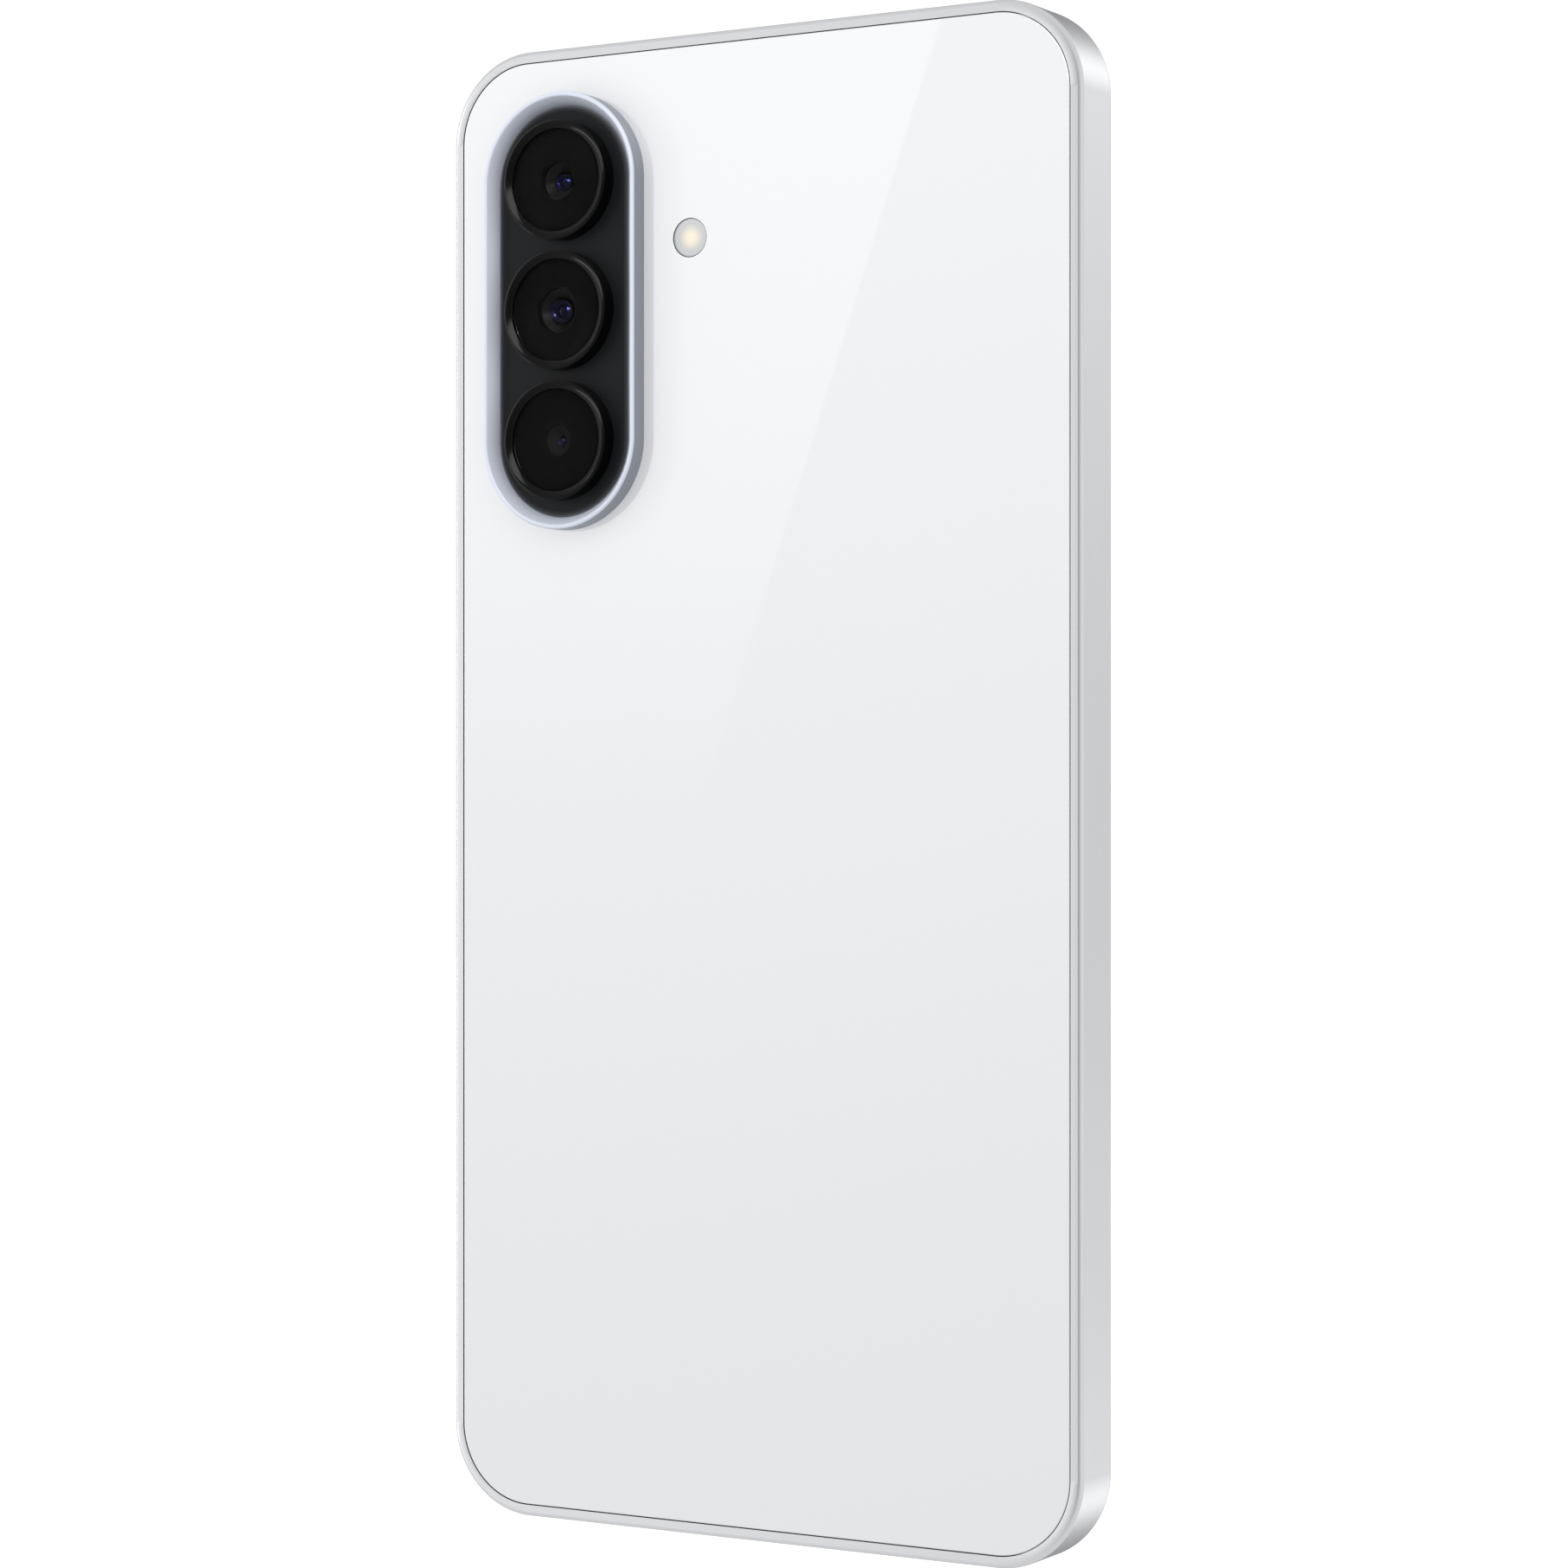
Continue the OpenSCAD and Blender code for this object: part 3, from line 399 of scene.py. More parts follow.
# %% Lamps, card and floor
def lamp(name, direction, distance, size, power, shadow=True):
    """An area lamp, distance mm away in a direction and facing the phone."""
    data = bpy.data.lights.new(name, "AREA")
    data.shape, data.energy, data.use_shadow = "RECTANGLE", power, shadow
    data.size, data.size_y = size[0] * MM, size[1] * MM
    obj = bpy.data.objects.new(name, data)
    obj.location = Vector(direction).normalized() * distance * MM
    obj.rotation_euler = (-obj.location).to_track_quat("-Z", "Y").to_euler()
    obj.visible_camera = False
    bpy.context.scene.collection.objects.link(obj)
    return obj


glint_lamp = lamp("glint_lamp", (-0.45, 0.75, 0.55), 650, (260, 260), 12.0)
top_lamp = lamp("top_lamp", (-0.16, 0.80, 0.57), 400, (240, 170), 0.70, shadow=False)
lamp("far_strip", (0.91, 0.41, 0.05), 600, (60, 500), 0.50)

# The card's sloping edge runs through two points (x, z), and its glow fades out downwards
CARD_Y, CARD_FAR_X, CARD_TOP = 600.0, 900.0, 320.0
EDGE_LOW, EDGE_HIGH = (383.0, -38.0), (295.0, 208.0)
CARD_SLOPE = (EDGE_LOW[0] - EDGE_HIGH[0]) / (EDGE_LOW[1] - EDGE_HIGH[1])
CARD_LIFT, CARD_FULL_Z = 0.30, 120.0


def card_edge(z):
    """Where the card's sloping edge is at a height, in mm."""
    return EDGE_LOW[0] + CARD_SLOPE * (z - EDGE_LOW[1])


corners = [
    (card_edge(EDGE_LOW[1]), CARD_Y, EDGE_LOW[1]),
    (CARD_FAR_X, CARD_Y, EDGE_LOW[1]),
    (CARD_FAR_X, CARD_Y, CARD_TOP),
    (card_edge(CARD_TOP), CARD_Y, CARD_TOP),
]
card = new_object("reflection_card", corners, [[0, 1, 2, 3]])
card.visible_camera = False
card_finish = bpy.data.materials.new("card_glow")
card_finish.use_nodes = True
tree = card_finish.node_tree
tree.nodes.clear()
height = node(tree, "SeparateXYZ", {0: object_coords(tree)}).outputs["Z"]
glow_range = {"From Min": EDGE_LOW[1] * MM, "From Max": CARD_FULL_Z * MM, "To Min": 0.0, "To Max": CARD_LIFT}
fade = node(tree, "MapRange", {"Value": height, **glow_range}, interpolation_type="SMOOTHSTEP")
glow = node(tree, "Emission", {"Strength": fade.outputs["Result"]})
clear = node(tree, "BsdfTransparent")
both = node(tree, "AddShader", {0: glow.outputs[0], 1: clear.outputs[0]})
node(tree, "OutputMaterial", {"Surface": both.outputs[0]})
card.data.materials.append(card_finish)

FLOOR_Z, FLOOR_R, FLOOR_SIDES = -126.0, 2500.0, 48
around = np.arange(FLOOR_SIDES) * 360 / FLOOR_SIDES
floor_points = np.c_[turn(around) * FLOOR_R, np.full(FLOOR_SIDES, FLOOR_Z)]
floor = new_object("floor", floor_points, [list(range(FLOOR_SIDES))])
floor.visible_glossy = floor.visible_transmission = False
floor.visible_diffuse = floor.visible_shadow = False
floor_finish = bpy.data.materials.new("pale_floor")
floor_finish.use_nodes = True
shader = floor_finish.node_tree.nodes["Principled BSDF"]
floor_look = {
    "Base Color": (0.9, 0.9, 0.9, 1), "Roughness": 0.9, "Emission Color": WHITE, "Emission Strength": 0.45,
}
for socket, value in floor_look.items():
    shader.inputs[socket].default_value = value
floor.data.materials.append(floor_finish)
print("card edge leans", round(math.degrees(math.atan(CARD_SLOPE)), 1), "degrees")

# %% [markdown]
# ## Shared effects
#
# Some effects turn up in several finishes, so each is a node group that is built once: grain, a
# fine noise for roughness and bump; tone, a slight drift of a colour over a surface; rings, the
# distance from a point of the back, for anything round; and lattice, the crossed threads of a
# mesh. The groups only put out colours, values and masks, and the shader itself stays in each
# material.

# %% Grain, tone, rings and lattice
grain, enter, leave = group("grain", [("Scale", "Float", 2000.0)], [("Value", "Float")])
scale = enter.outputs["Scale"]
noise = node(grain, "TexNoise", {"Vector": object_coords(grain), "Scale": scale, "Detail": 2.0})
grain.links.new(noise.outputs["Fac"], leave.inputs["Value"])

tone, enter, leave = group(
    "tone",
    [("Color", "Color", (0.5, 0.5, 0.5, 1)), ("Amount", "Float", 0.05), ("Scale", "Float", 60.0)],
    [("Color", "Color")],
)
scale = enter.outputs["Scale"]
noise = node(tone, "TexNoise", {"Vector": object_coords(tone), "Scale": scale, "Detail": 3.0})
centred = math_node(tone, "SUBTRACT", noise.outputs["Fac"], 0.5)
level = math_node(tone, "MULTIPLY_ADD", centred, enter.outputs["Amount"], 1.0)
scaled = node(tone, "VectorMath", {0: enter.outputs["Color"], "Scale": level}, operation="SCALE")
tone.links.new(scaled.outputs["Vector"], leave.inputs["Color"])


def offset_from(tree, centre):
    """The point on the piece less a centre, in metres."""
    return node(tree, "VectorMath", {0: object_coords(tree), 1: centre}, operation="SUBTRACT")


rings, enter, leave = group("rings", [("Centre", "Vector", (0, 0, 0))], [("Distance", "Float")])
offset = offset_from(rings, enter.outputs["Centre"])
flat = node(rings, "VectorMath", {0: offset.outputs[0], 1: (1, 0, 1)}, operation="MULTIPLY")
length = node(rings, "VectorMath", {0: flat.outputs[0]}, operation="LENGTH")
rings.links.new(math_node(rings, "DIVIDE", length.outputs["Value"], MM), leave.inputs["Distance"])

lattice, enter, leave = group("lattice", [("Pitch", "Float", 0.25)], [("Height", "Float")])
axis = node(lattice, "SeparateXYZ", {0: object_coords(lattice)})
threads = []
for direction in ("X", "Y"):
    phase = math_node(lattice, "DIVIDE", axis.outputs[direction], enter.outputs["Pitch"])
    threads.append(math_node(lattice, "ABSOLUTE", math_node(lattice, "SINE", phase)))
lattice.links.new(math_node(lattice, "MAXIMUM", *threads), leave.inputs["Height"])
print("groups:", ", ".join(g.name for g in bpy.data.node_groups))

# %% [markdown]
# ## Finishes
#
# Every finish shares one recipe: a colour that drifts a little, a roughness that follows fine
# grit, and a bump of the same grit. Real surfaces are never quite even, and a metal's grain,
# a paint's speckle and a moulded plastic's texture differ mostly in scale and depth. The
# recipe's numbers are set for each finish, and a few finishes then get something of their own.


# %% The common recipe
def finish(name, colour, roughness, drift=0.05, patch=60, grit=2500, spread=0.08, depth=0.002, sockets=()):
    """A finish from the recipe: drift and patch for the colour, grit, spread and depth in mm for
    the surface, and sockets as (name, value) pairs set on the shader itself."""
    material = bpy.data.materials.new(name)
    material.use_nodes = True
    tree = material.node_tree
    shader = tree.nodes["Principled BSDF"]
    for socket, value in sockets:
        shader.inputs[socket].default_value = value
    shade = place(tree, "tone", [("Color", (*colour, 1)), ("Amount", drift), ("Scale", patch)])
    tree.links.new(shade.outputs["Color"], shader.inputs["Base Color"])
    fine = place(tree, "grain", [("Scale", grit)])
    centred = math_node(tree, "SUBTRACT", fine.outputs["Value"], 0.5)
    level = math_node(tree, "MULTIPLY_ADD", centred, spread, roughness)
    tree.links.new(level, shader.inputs["Roughness"])
    bump = node(tree, "Bump", {"Height": fine.outputs["Value"], "Strength": 1.0, "Distance": depth * MM})
    tree.links.new(bump.outputs["Normal"], shader.inputs["Normal"])
    return material


METAL = ("Metallic", 1.0)
MIDDLE_GREY = (0.5, 0.5, 0.5)
COVER_WHITE = (0.72, 0.726, 0.742)
DIM = ("Specular IOR Level", 0.08)

# %% Outside finishes
frame_metal = finish("satin_frame", (0.745, 0.752, 0.772), 0.27, 0.03, 40, 6500, 0.03, 0.0003, [METAL])
ring_metal = finish("blue_grey_ring", MIDDLE_GREY, 0.42, 0.04, 60, 4200, 0.05, 0.0006, [("Metallic", 0.1)])
white_cover = finish(
    "gloss_white_cover", COVER_WHITE, 0.35, 0.012, 900, 2600, 0.05, 0.0002,
    [("Coat Weight", 1.0), ("Coat Roughness", 0.012), ("Coat IOR", 2.2), ("Specular IOR Level", 0.0)],
)
island_plate = finish(
    "satin_black_plate", MIDDLE_GREY, 0.42, 0.10, 50, 3600, 0.08, 0.0008,
    [("Specular IOR Level", 0.14)],
)
trim_metal = finish(
    "black_lens_trim", (0.0018, 0.0019, 0.0021), 0.15, 0.10, 90, 4200, 0.05, 0.0004,
    [("Specular IOR Level", 0.13)],
)
camera_black = finish(
    "black_lens_barrel", (0.0028, 0.003, 0.003), 0.50, 0.15, 200, 4000, 0.10, 0.001,
    [("Specular IOR Level", 0.07)],
)
lens_mask = finish(
    "black_lens_mask", (0.0010, 0.0010, 0.0011), 0.5, 0.15, 200, 3500, 0.08, 0.0004,
    [("Specular IOR Level", 0.02)],
)
lens_element = finish(
    "coated_element", (0.0006, 0.0007, 0.0016), 0.10, 0.30, 400, 2000, 0.02, 0.0001,
    [("Specular IOR Level", 0.16), ("Specular Tint", (0.04, 0.06, 1.0, 1)), ("Coat Weight", 0.15)],
)
lens_glass = finish(
    "lens_cover_glass", (1.0, 1.0, 1.0), 0.01, 0.005, 40, 1500, 0.005, 0.00002,
    [("Transmission Weight", 1.0), ("IOR", 1.055)],
)
front_glass = finish(
    "front_cover_glass", (1.0, 1.0, 1.0), 0.01, 0.005, 40, 1500, 0.004, 0.000002,
    [("Transmission Weight", 1.0), ("IOR", 1.25)],
)
display = finish("dark_display", (0.0030, 0.0034, 0.0042), 0.25, 0.10, 30, 3000, 0.05, 0.0002, [DIM])
border_print = finish(
    "black_border_print", (0.0015, 0.0015, 0.0018), 0.4, 0.10, 30, 3000, 0.06, 0.0003, [DIM],
)
print("outside finishes ready")

# %% Inside finishes
sheet_steel = finish("sheet_steel", (0.62, 0.62, 0.61), 0.34, 0.10, 120, 1800, 0.12, 0.002, [METAL])
magnesium = finish("cast_magnesium", (0.34, 0.35, 0.36), 0.48, 0.15, 90, 900, 0.15, 0.008, [METAL])
gold_contact = finish("gold_contact", (0.83, 0.58, 0.24), 0.25, 0.08, 200, 2500, 0.08, 0.001, [METAL])
copper_foil = finish("copper_foil", (0.80, 0.42, 0.27), 0.32, 0.14, 80, 700, 0.14, 0.006, [METAL])
battery_wrap = finish("battery_foil", (0.42, 0.43, 0.45), 0.36, 0.10, 30, 350, 0.12, 0.015, [METAL])
tungsten = finish("tungsten", (0.30, 0.30, 0.31), 0.40, 0.10, 120, 1500, 0.12, 0.003, [METAL])
board = finish("solder_mask", (0.010, 0.065, 0.028), 0.38, 0.45, 450, 1200, 0.10, 0.006)
chip = finish("moulded_chip", (0.018, 0.018, 0.020), 0.50, 0.20, 200, 2600, 0.12, 0.003)
black_plastic = finish("moulded_black", (0.020, 0.020, 0.021), 0.55, 0.15, 90, 1500, 0.14, 0.006)
flex_film = finish("flex_film", (0.24, 0.085, 0.014), 0.30, 0.20, 120, 900, 0.10, 0.003)
cable_jacket = finish("cable_jacket", (0.030, 0.030, 0.032), 0.45, 0.12, 150, 1800, 0.10, 0.003)
seal_rubber = finish("seal_rubber", (0.014, 0.014, 0.014), 0.72, 0.20, 150, 1400, 0.12, 0.006)
cone_film = finish("cone_film", (0.05, 0.05, 0.055), 0.40, 0.12, 200, 1500, 0.10, 0.004)
print("inside finishes ready")

# %% [markdown]
# ## Finishes with something of their own
#
# Five finishes differ over their piece, so the recipe's one colour gives way to a ramp. The mesh
# is woven: its bump is a lattice, and the gaps between its threads are dark. The ring's upright
# wall has painted shade, darker than its slope, so its colour follows which way the surface
# faces, and so does the cover's, whose ground edge has painted shade beside the gap round it.
# The plate's rim has a painted sheen, lighter by the distance from the middle line of its pill.
# The flash window is a frosted disc over a warm emitter: its colour follows the distance from
# its centre, and fine dimples break up the light. All of these are worked out from the piece
# itself, so they stay in place from every side.


# %% Woven mesh
def recolour(material, shades):
    """Puts colours that differ over the piece into the material's tone group."""
    tree = material.node_tree
    shade = next(n for n in tree.nodes if n.type == "GROUP" and n.node_tree.name == "tone")
    tree.links.new(shades, shade.inputs["Color"])


def facing_out(tree):
    """How far the surface faces out of the back: 1 straight out, 0 sideways."""
    return node(tree, "SeparateXYZ", {0: node(tree, "TexCoord").outputs["Normal"]}).outputs["Y"]


THREAD_PITCH = 0.045
acoustic_mesh = finish("woven_mesh", (0.05, 0.05, 0.055), 0.45, 0.1, 100, 2500, 0.08, 0.001, [METAL])
tree = acoustic_mesh.node_tree
weave = place(tree, "lattice", [("Pitch", THREAD_PITCH * MM)]).outputs["Height"]
shader = tree.nodes["Principled BSDF"]
shades = ramp(tree, weave, [(0.0, (0.004, 0.004, 0.004)), (0.9, (0.16, 0.16, 0.165))])
tree.links.new(shades, shader.inputs["Base Color"])
bump = node(tree, "Bump", {"Height": weave, "Distance": 0.03 * MM})
tree.links.new(bump.outputs["Normal"], shader.inputs["Normal"])
print("thread pitch", THREAD_PITCH, "mm")

# %% Painted shade on the ring's wall and on the cover's edge
# Painted shade: the ring's upright wall is a darker, shaded copy of its slope's colour.
WALL_PAINTED_SHADE, SLOPE_LIT_TONE, EDGE_PAINTED_SHADE = (0.27, 0.295, 0.345), (0.64, 0.68, 0.77), (0.14, 0.144, 0.152)
tree = ring_metal.node_tree
recolour(ring_metal, ramp(tree, facing_out(tree), [(0.15, WALL_PAINTED_SHADE), (0.50, SLOPE_LIT_TONE)]))
tree = white_cover.node_tree
# Painted shade: the cover's rounded edge beside the gap to the frame is darkened to a thin dark line.
recolour(white_cover, ramp(tree, facing_out(tree), [(0.50, EDGE_PAINTED_SHADE), (0.93, COVER_WHITE)]))
print("ring wall", WALL_PAINTED_SHADE, "and slope", SLOPE_LIT_TONE)

# %% Feathered edge of the plate, a painted sheen
feather, enter, leave = group(
    "pill_edge", [("Centre", "Vector", (0, 0, 0)), ("Straight", "Float", 0.01)], [("Distance", "Float")]
)
axis = node(feather, "SeparateXYZ", {0: offset_from(feather, enter.outputs["Centre"]).outputs[0]})
along = math_node(feather, "ABSOLUTE", axis.outputs["Z"])
beyond = math_node(feather, "SUBTRACT", along, enter.outputs["Straight"])
past_end = math_node(feather, "MAXIMUM", beyond, 0.0)
radial = node(feather, "CombineXYZ", {0: axis.outputs["X"], 1: past_end})
radius = node(feather, "VectorMath", {0: radial.outputs[0]}, operation="LENGTH").outputs["Value"]
feather.links.new(math_node(feather, "DIVIDE", radius, MM), leave.inputs["Distance"])

RING_W = 1.35
PLATE_EDGE = ISLAND_W / 2 - RING_W
tree = island_plate.node_tree
edge_of = place(tree, "pill_edge", [
    ("Centre", (ISLAND_X * MM, 0, ISLAND_Z * MM)), ("Straight", (ISLAND_H - ISLAND_W) / 2 * MM)
])
share = math_node(tree, "DIVIDE", edge_of.outputs["Distance"], PLATE_EDGE)
# Painted sheen: the plate's black lightens towards its rim, standing in for the light its rolled edge
# catches.
INK, PAINTED_SHEEN_SOFT, PAINTED_SHEEN_BRIGHT = (0.0062, 0.0070, 0.0080), (0.035, 0.037, 0.041), (0.16, 0.17, 0.19)
PAINTED_SHEEN_FROM = 0.92
recolour(island_plate, ramp(tree, share, [(0.0, INK), (PAINTED_SHEEN_FROM, INK), (0.965, PAINTED_SHEEN_SOFT), (1.0, PAINTED_SHEEN_BRIGHT)]))
# Where the print says the ink thins, the painted sheen begins.
print(f"ink thins beyond {PAINTED_SHEEN_FROM * PLATE_EDGE:.2f} mm of {PLATE_EDGE:.2f} mm")

# %% Flash window finish
FLASH = middle("flash_window")
FLASH_R, GLOW_OFFSET = 2.08, 0.15
flash_window = finish(
    "frosted_flash_window", MIDDLE_GREY, 0.35, sockets=[("Coat Weight", 0.6), ("Coat Roughness", 0.05)]
)
tree = flash_window.node_tree
shader = tree.nodes["Principled BSDF"]
warm_centre = np.array([FLASH[0] - GLOW_OFFSET, 0, FLASH[2]]) * MM
distance = place(tree, "rings", [("Centre", warm_centre)]).outputs["Distance"]
share = math_node(tree, "DIVIDE", distance, FLASH_R)
CREAM, GREY, RIM = (0.83, 0.76, 0.60), (0.52, 0.53, 0.54), (0.30, 0.31, 0.32)
shades = ramp(tree, share, [(0.0, CREAM), (0.22, CREAM), (0.72, GREY), (0.94, GREY), (1.0, RIM)])
tree.links.new(shades, shader.inputs["Base Color"])
dimples = node(tree, "TexVoronoi", {"Vector": object_coords(tree), "Scale": 5500.0})
bump = node(tree, "Bump", {"Height": dimples.outputs["Distance"], "Strength": 0.35, "Distance": 0.04 * MM})
tree.links.new(bump.outputs["Normal"], shader.inputs["Normal"])
print("flash centre", np.round(FLASH, 2))

# %% [markdown]
# ## Side frame
#
# One bar of aluminium runs round the phone: a flat band with rounded edges, a flat rim at the
# back, and ledges inside that the glasses sit on. It is machined and then blasted and anodised,
# which leaves a satin skin. Here its section is carried round the rounded outline, the openings
# are cut out, and a narrow bevel lights every machined edge. The edge's arc stops a little
# short of flat, which leaves a fine line between it and the rim.

# %% Side frame
BACK_LEDGE, FRONT_LEDGE = 0.95, BODY_T - 0.95
LEDGE_W, LEDGE_T, FRONT_RIM_W = 3.2, 0.55, 1.0
EDGE_END = 75
edge_drop = EDGE_R * math.sin(math.radians(EDGE_END))
frame_section = section(
    arc((-EDGE_R, -edge_drop), EDGE_R, 0, EDGE_END, 8),
    [-RIM_W, 0], [-RIM_W, -BACK_LEDGE],
    [-LEDGE_W, -BACK_LEDGE], [-LEDGE_W, -BACK_LEDGE - LEDGE_T],
    [-WALL_T, -BACK_LEDGE - LEDGE_T], [-WALL_T, LEDGE_T - FRONT_LEDGE],
    [-LEDGE_W, LEDGE_T - FRONT_LEDGE], [-LEDGE_W, -FRONT_LEDGE],
    [-FRONT_RIM_W, -FRONT_LEDGE], [-FRONT_RIM_W, -BODY_T],
    arc((-EDGE_R, edge_drop - BODY_T), EDGE_R, -EDGE_END, 0, 8),
)
BOTTOM = (-BODY_H / 2 - 1, -BODY_H / 2 + WALL_T + 1)
TOP = (BODY_H / 2 - WALL_T - 1, BODY_H / 2 + 1)
PORT_HOLE, TRAY_HOLE, MIC_HOLE, GRILLE_SLOT = (9.1, 3.42), (17.2, 2.6), (1.0, 1.0), (2.3, 1.3)
TRAY_X, MIC_X, TOP_MIC_X = -20.6, -8.2, -22
GRILLE_X = [12 + 3 * i for i in range(6)]
POWER_Z, POWER_L = 11.0, 12.0
VOLUME_Z, VOLUME_L = 34.0, 23.0
BUTTON_W, BUTTON_GAP = 2.2, 0.1
INNER_X = BODY_W / 2 - WALL_T


def pill_bar(name, width, height, depth, at, axes):
    """A block with fully rounded ends."""
    return bar(name, width, height, depth, at, axes, min(width, height) / 2)


holes = [
    pill_bar("port_hole", *PORT_HOLE, BOTTOM, (0, CENTRE_Y, 0), FOOT),
    pill_bar("tray_hole", *TRAY_HOLE, BOTTOM, (TRAY_X, CENTRE_Y, 0), FOOT),
    pill_bar("mic_hole", *MIC_HOLE, BOTTOM, (MIC_X, CENTRE_Y, 0), FOOT),
    pill_bar("top_mic_hole", *MIC_HOLE, TOP, (TOP_MIC_X, CENTRE_Y, 0), FOOT),
]
holes += [pill_bar(f"grille_{x}", *GRILLE_SLOT, BOTTOM, (x, CENTRE_Y, 0), FOOT) for x in GRILLE_X]
for z, length in ((POWER_Z, POWER_L), (VOLUME_Z, VOLUME_L)):
    size = (length + 2 * BUTTON_GAP, BUTTON_W + 2 * BUTTON_GAP)
    holes.append(pill_bar(f"button_hole_{z}", *size, (INNER_X - 1, BODY_W / 2 + 1), (0, CENTRE_Y, z), SIDE))
shell = solid("side_frame_shell", outline(BODY_W, BODY_H, CORNER_R, 32), frame_section)
cut(shell, *holes)
soften(shell, 0.05)
piece(shell, frame_metal, stands_for=["side_frame"])

# %% [markdown]
# ## Back cover
#
# A sheet of glossy white glass, let into the frame with a hair of a gap all round. Its edge is
# ground to a small radius. The gap and the painted shade on the edge show as one thin dark line.

# %% Back cover
COVER_INSET, COVER_T, COVER_EDGE = 1.36, 0.75, 0.14
cover_edge = section([0, -COVER_T], [0, -COVER_EDGE], arc((-COVER_EDGE, -COVER_EDGE), COVER_EDGE, 15, 90, 5))
cover_shape = outline(BODY_W - 2 * COVER_INSET, BODY_H - 2 * COVER_INSET, CORNER_R - COVER_INSET, 32)
cover = solid("white_back_cover", cover_shape, cover_edge, closed=False)
CUT_GAP = 0.05
island_hole = (ISLAND_W - 2 * RING_W + 2 * CUT_GAP, ISLAND_H - 2 * RING_W + 2 * CUT_GAP)
cut(
    cover,
    pill_bar("island_hole", *island_hole, (-2, 1), (ISLAND_X, 0, ISLAND_Z), BACK),
    pill_bar("flash_hole", *[2 * (FLASH_R + CUT_GAP)] * 2, (-2, 1), (FLASH[0], 0, FLASH[2]), BACK),
)
soften(cover, 0.03, 40)
piece(cover, white_cover, stands_for=["rear_cover"])

# %% [markdown]
# ## Camera island
#
# The ring is a separate bar of metal, upright outside and sloping in towards the plate, with a
# softly rounded peak. The plate inside it is satin black, and rolls off at its edge. Both are
# the same pill outline with their own sections.

# %% Ring and plate
RING_RISE, PLATE_RISE, PEAK_R = 2.2, 1.0, 0.30
SKIRT_R, SKIRT_TOP, SKIRT_FOOT = RING_W + 0.6, 0.2, -0.9
island_at = (ISLAND_X, 0, ISLAND_Z)
slope = math.degrees(math.atan2(RING_W - PEAK_R, RING_RISE - PLATE_RISE))
ring_section = section(
    [0, 0], arc((-PEAK_R, RING_RISE - PEAK_R), PEAK_R, 0, 180 - slope, 10),
    [-RING_W, PLATE_RISE], [-RING_W, SKIRT_TOP], [-SKIRT_R, SKIRT_TOP], [-SKIRT_R, SKIRT_FOOT],
    [-RING_W, SKIRT_FOOT], [-RING_W, 0],
)
ring = solid("camera_island_ring", outline(ISLAND_W, ISLAND_H, ISLAND_W / 2, 40), ring_section, island_at)
piece(soften(ring, 0.03, 40), ring_metal, stands_for=["camera_ring"])

PLATE_T, PLATE_GAP, ROLL_W, ROLL_DROP = 0.8, 0.02, 1.15, 0.30
turned = turn(np.linspace(0, 90, 13))
roll = (turned - 1) * [ROLL_W, ROLL_DROP] + [0, PLATE_RISE]
plate_w, plate_h = (side - 2 * (RING_W + PLATE_GAP) for side in (ISLAND_W, ISLAND_H))
plate_shape = outline(plate_w, plate_h, plate_w / 2, 40)
plate_section = section([0, PLATE_RISE - PLATE_T], roll)
plate = solid("black_island_plate", plate_shape, plate_section, island_at, closed=False)
SPIGOT_R = 5.25
LENS_NODES = ["top_lens_trim", "middle_lens_trim", "bottom_lens_trim"]
LENS_Z = [middle(name)[2] for name in LENS_NODES]
cut(plate, *[
    pill_bar(f"lens_hole_{z:.0f}", 2 * SPIGOT_R, 2 * SPIGOT_R, (-1, 2), (ISLAND_X, 0, z), BACK)
    for z in LENS_Z
])
soften(plate, 0.02, 40)
piece(plate, island_plate, stands_for=["camera_plate"])
print("lens heights", np.round(LENS_Z, 2))

# %% [markdown]
# ## Lenses
#
# Each lens looks out through a flat cover glass held in a black turned trim, whose face slopes
# in to the glass. Straight under the glass a black mask hides everything but a round opening.
# In the opening a funnel leads down to the front element, which has a blue coating: a domed
# middle in a dished rim, so one lamp gives it two small glints. Everything here is turned, so
# it is a section carried round a circle.


# %% Trims, glasses, masks and elements
TRIM_R, TRIM_PEAK, TRIM_RISE = 6.6, 0.25, 3.0
GLASS_R, GLASS_TOP, GLASS_BEVEL = 5.6, 2.65, 0.07
BORE_R, SEAT, TRIM_FOOT = 4.7, 2.13, 0.2
pocket_r, spigot_r = GLASS_R + 0.06, SPIGOT_R - 0.05
trim_section = section(
    [TRIM_R, PLATE_RISE], [TRIM_R, TRIM_RISE - 0.15], [TRIM_R - TRIM_PEAK, TRIM_RISE],
    [pocket_r, GLASS_TOP], [pocket_r, SEAT], [BORE_R, SEAT], [BORE_R, TRIM_FOOT],
    [spigot_r, TRIM_FOOT], [spigot_r, PLATE_RISE],
)
MASK_TOP, MASK_T = SEAT + 0.035, 0.03
glass_section = section(
    [GLASS_R, MASK_TOP + 0.02], [GLASS_R, GLASS_TOP - GLASS_BEVEL], [GLASS_R - GLASS_BEVEL, GLASS_TOP],
)
BARREL_TOP, CHAMFER = 1.75, 0.1


def turned_piece(name, profile, z, **options):
    """A turned solid about the line through a lens at height z, from a section of (r, y)."""
    return solid(name, circle(128), np.asarray(profile, float), (ISLAND_X, 0, z), **options)


def element_profile(radius, base):
    """Domed middle to 0.6 of the radius and dished rim outside it: height over the base is
    0.25 R (1 - (r / 0.6 R)^2) inside, and 0.26 R ((r - 0.6 R) / 0.4 R)^2 outside."""
    r = np.linspace(radius, 0, 25)
    dome = 0.25 * radius * (1 - (r / (0.6 * radius)) ** 2)
    dish = 0.26 * radius * ((r - 0.6 * radius) / (0.4 * radius)) ** 2
    return section([radius, base - 0.3], np.c_[r, base + np.where(r < 0.6 * radius, dome, dish)])


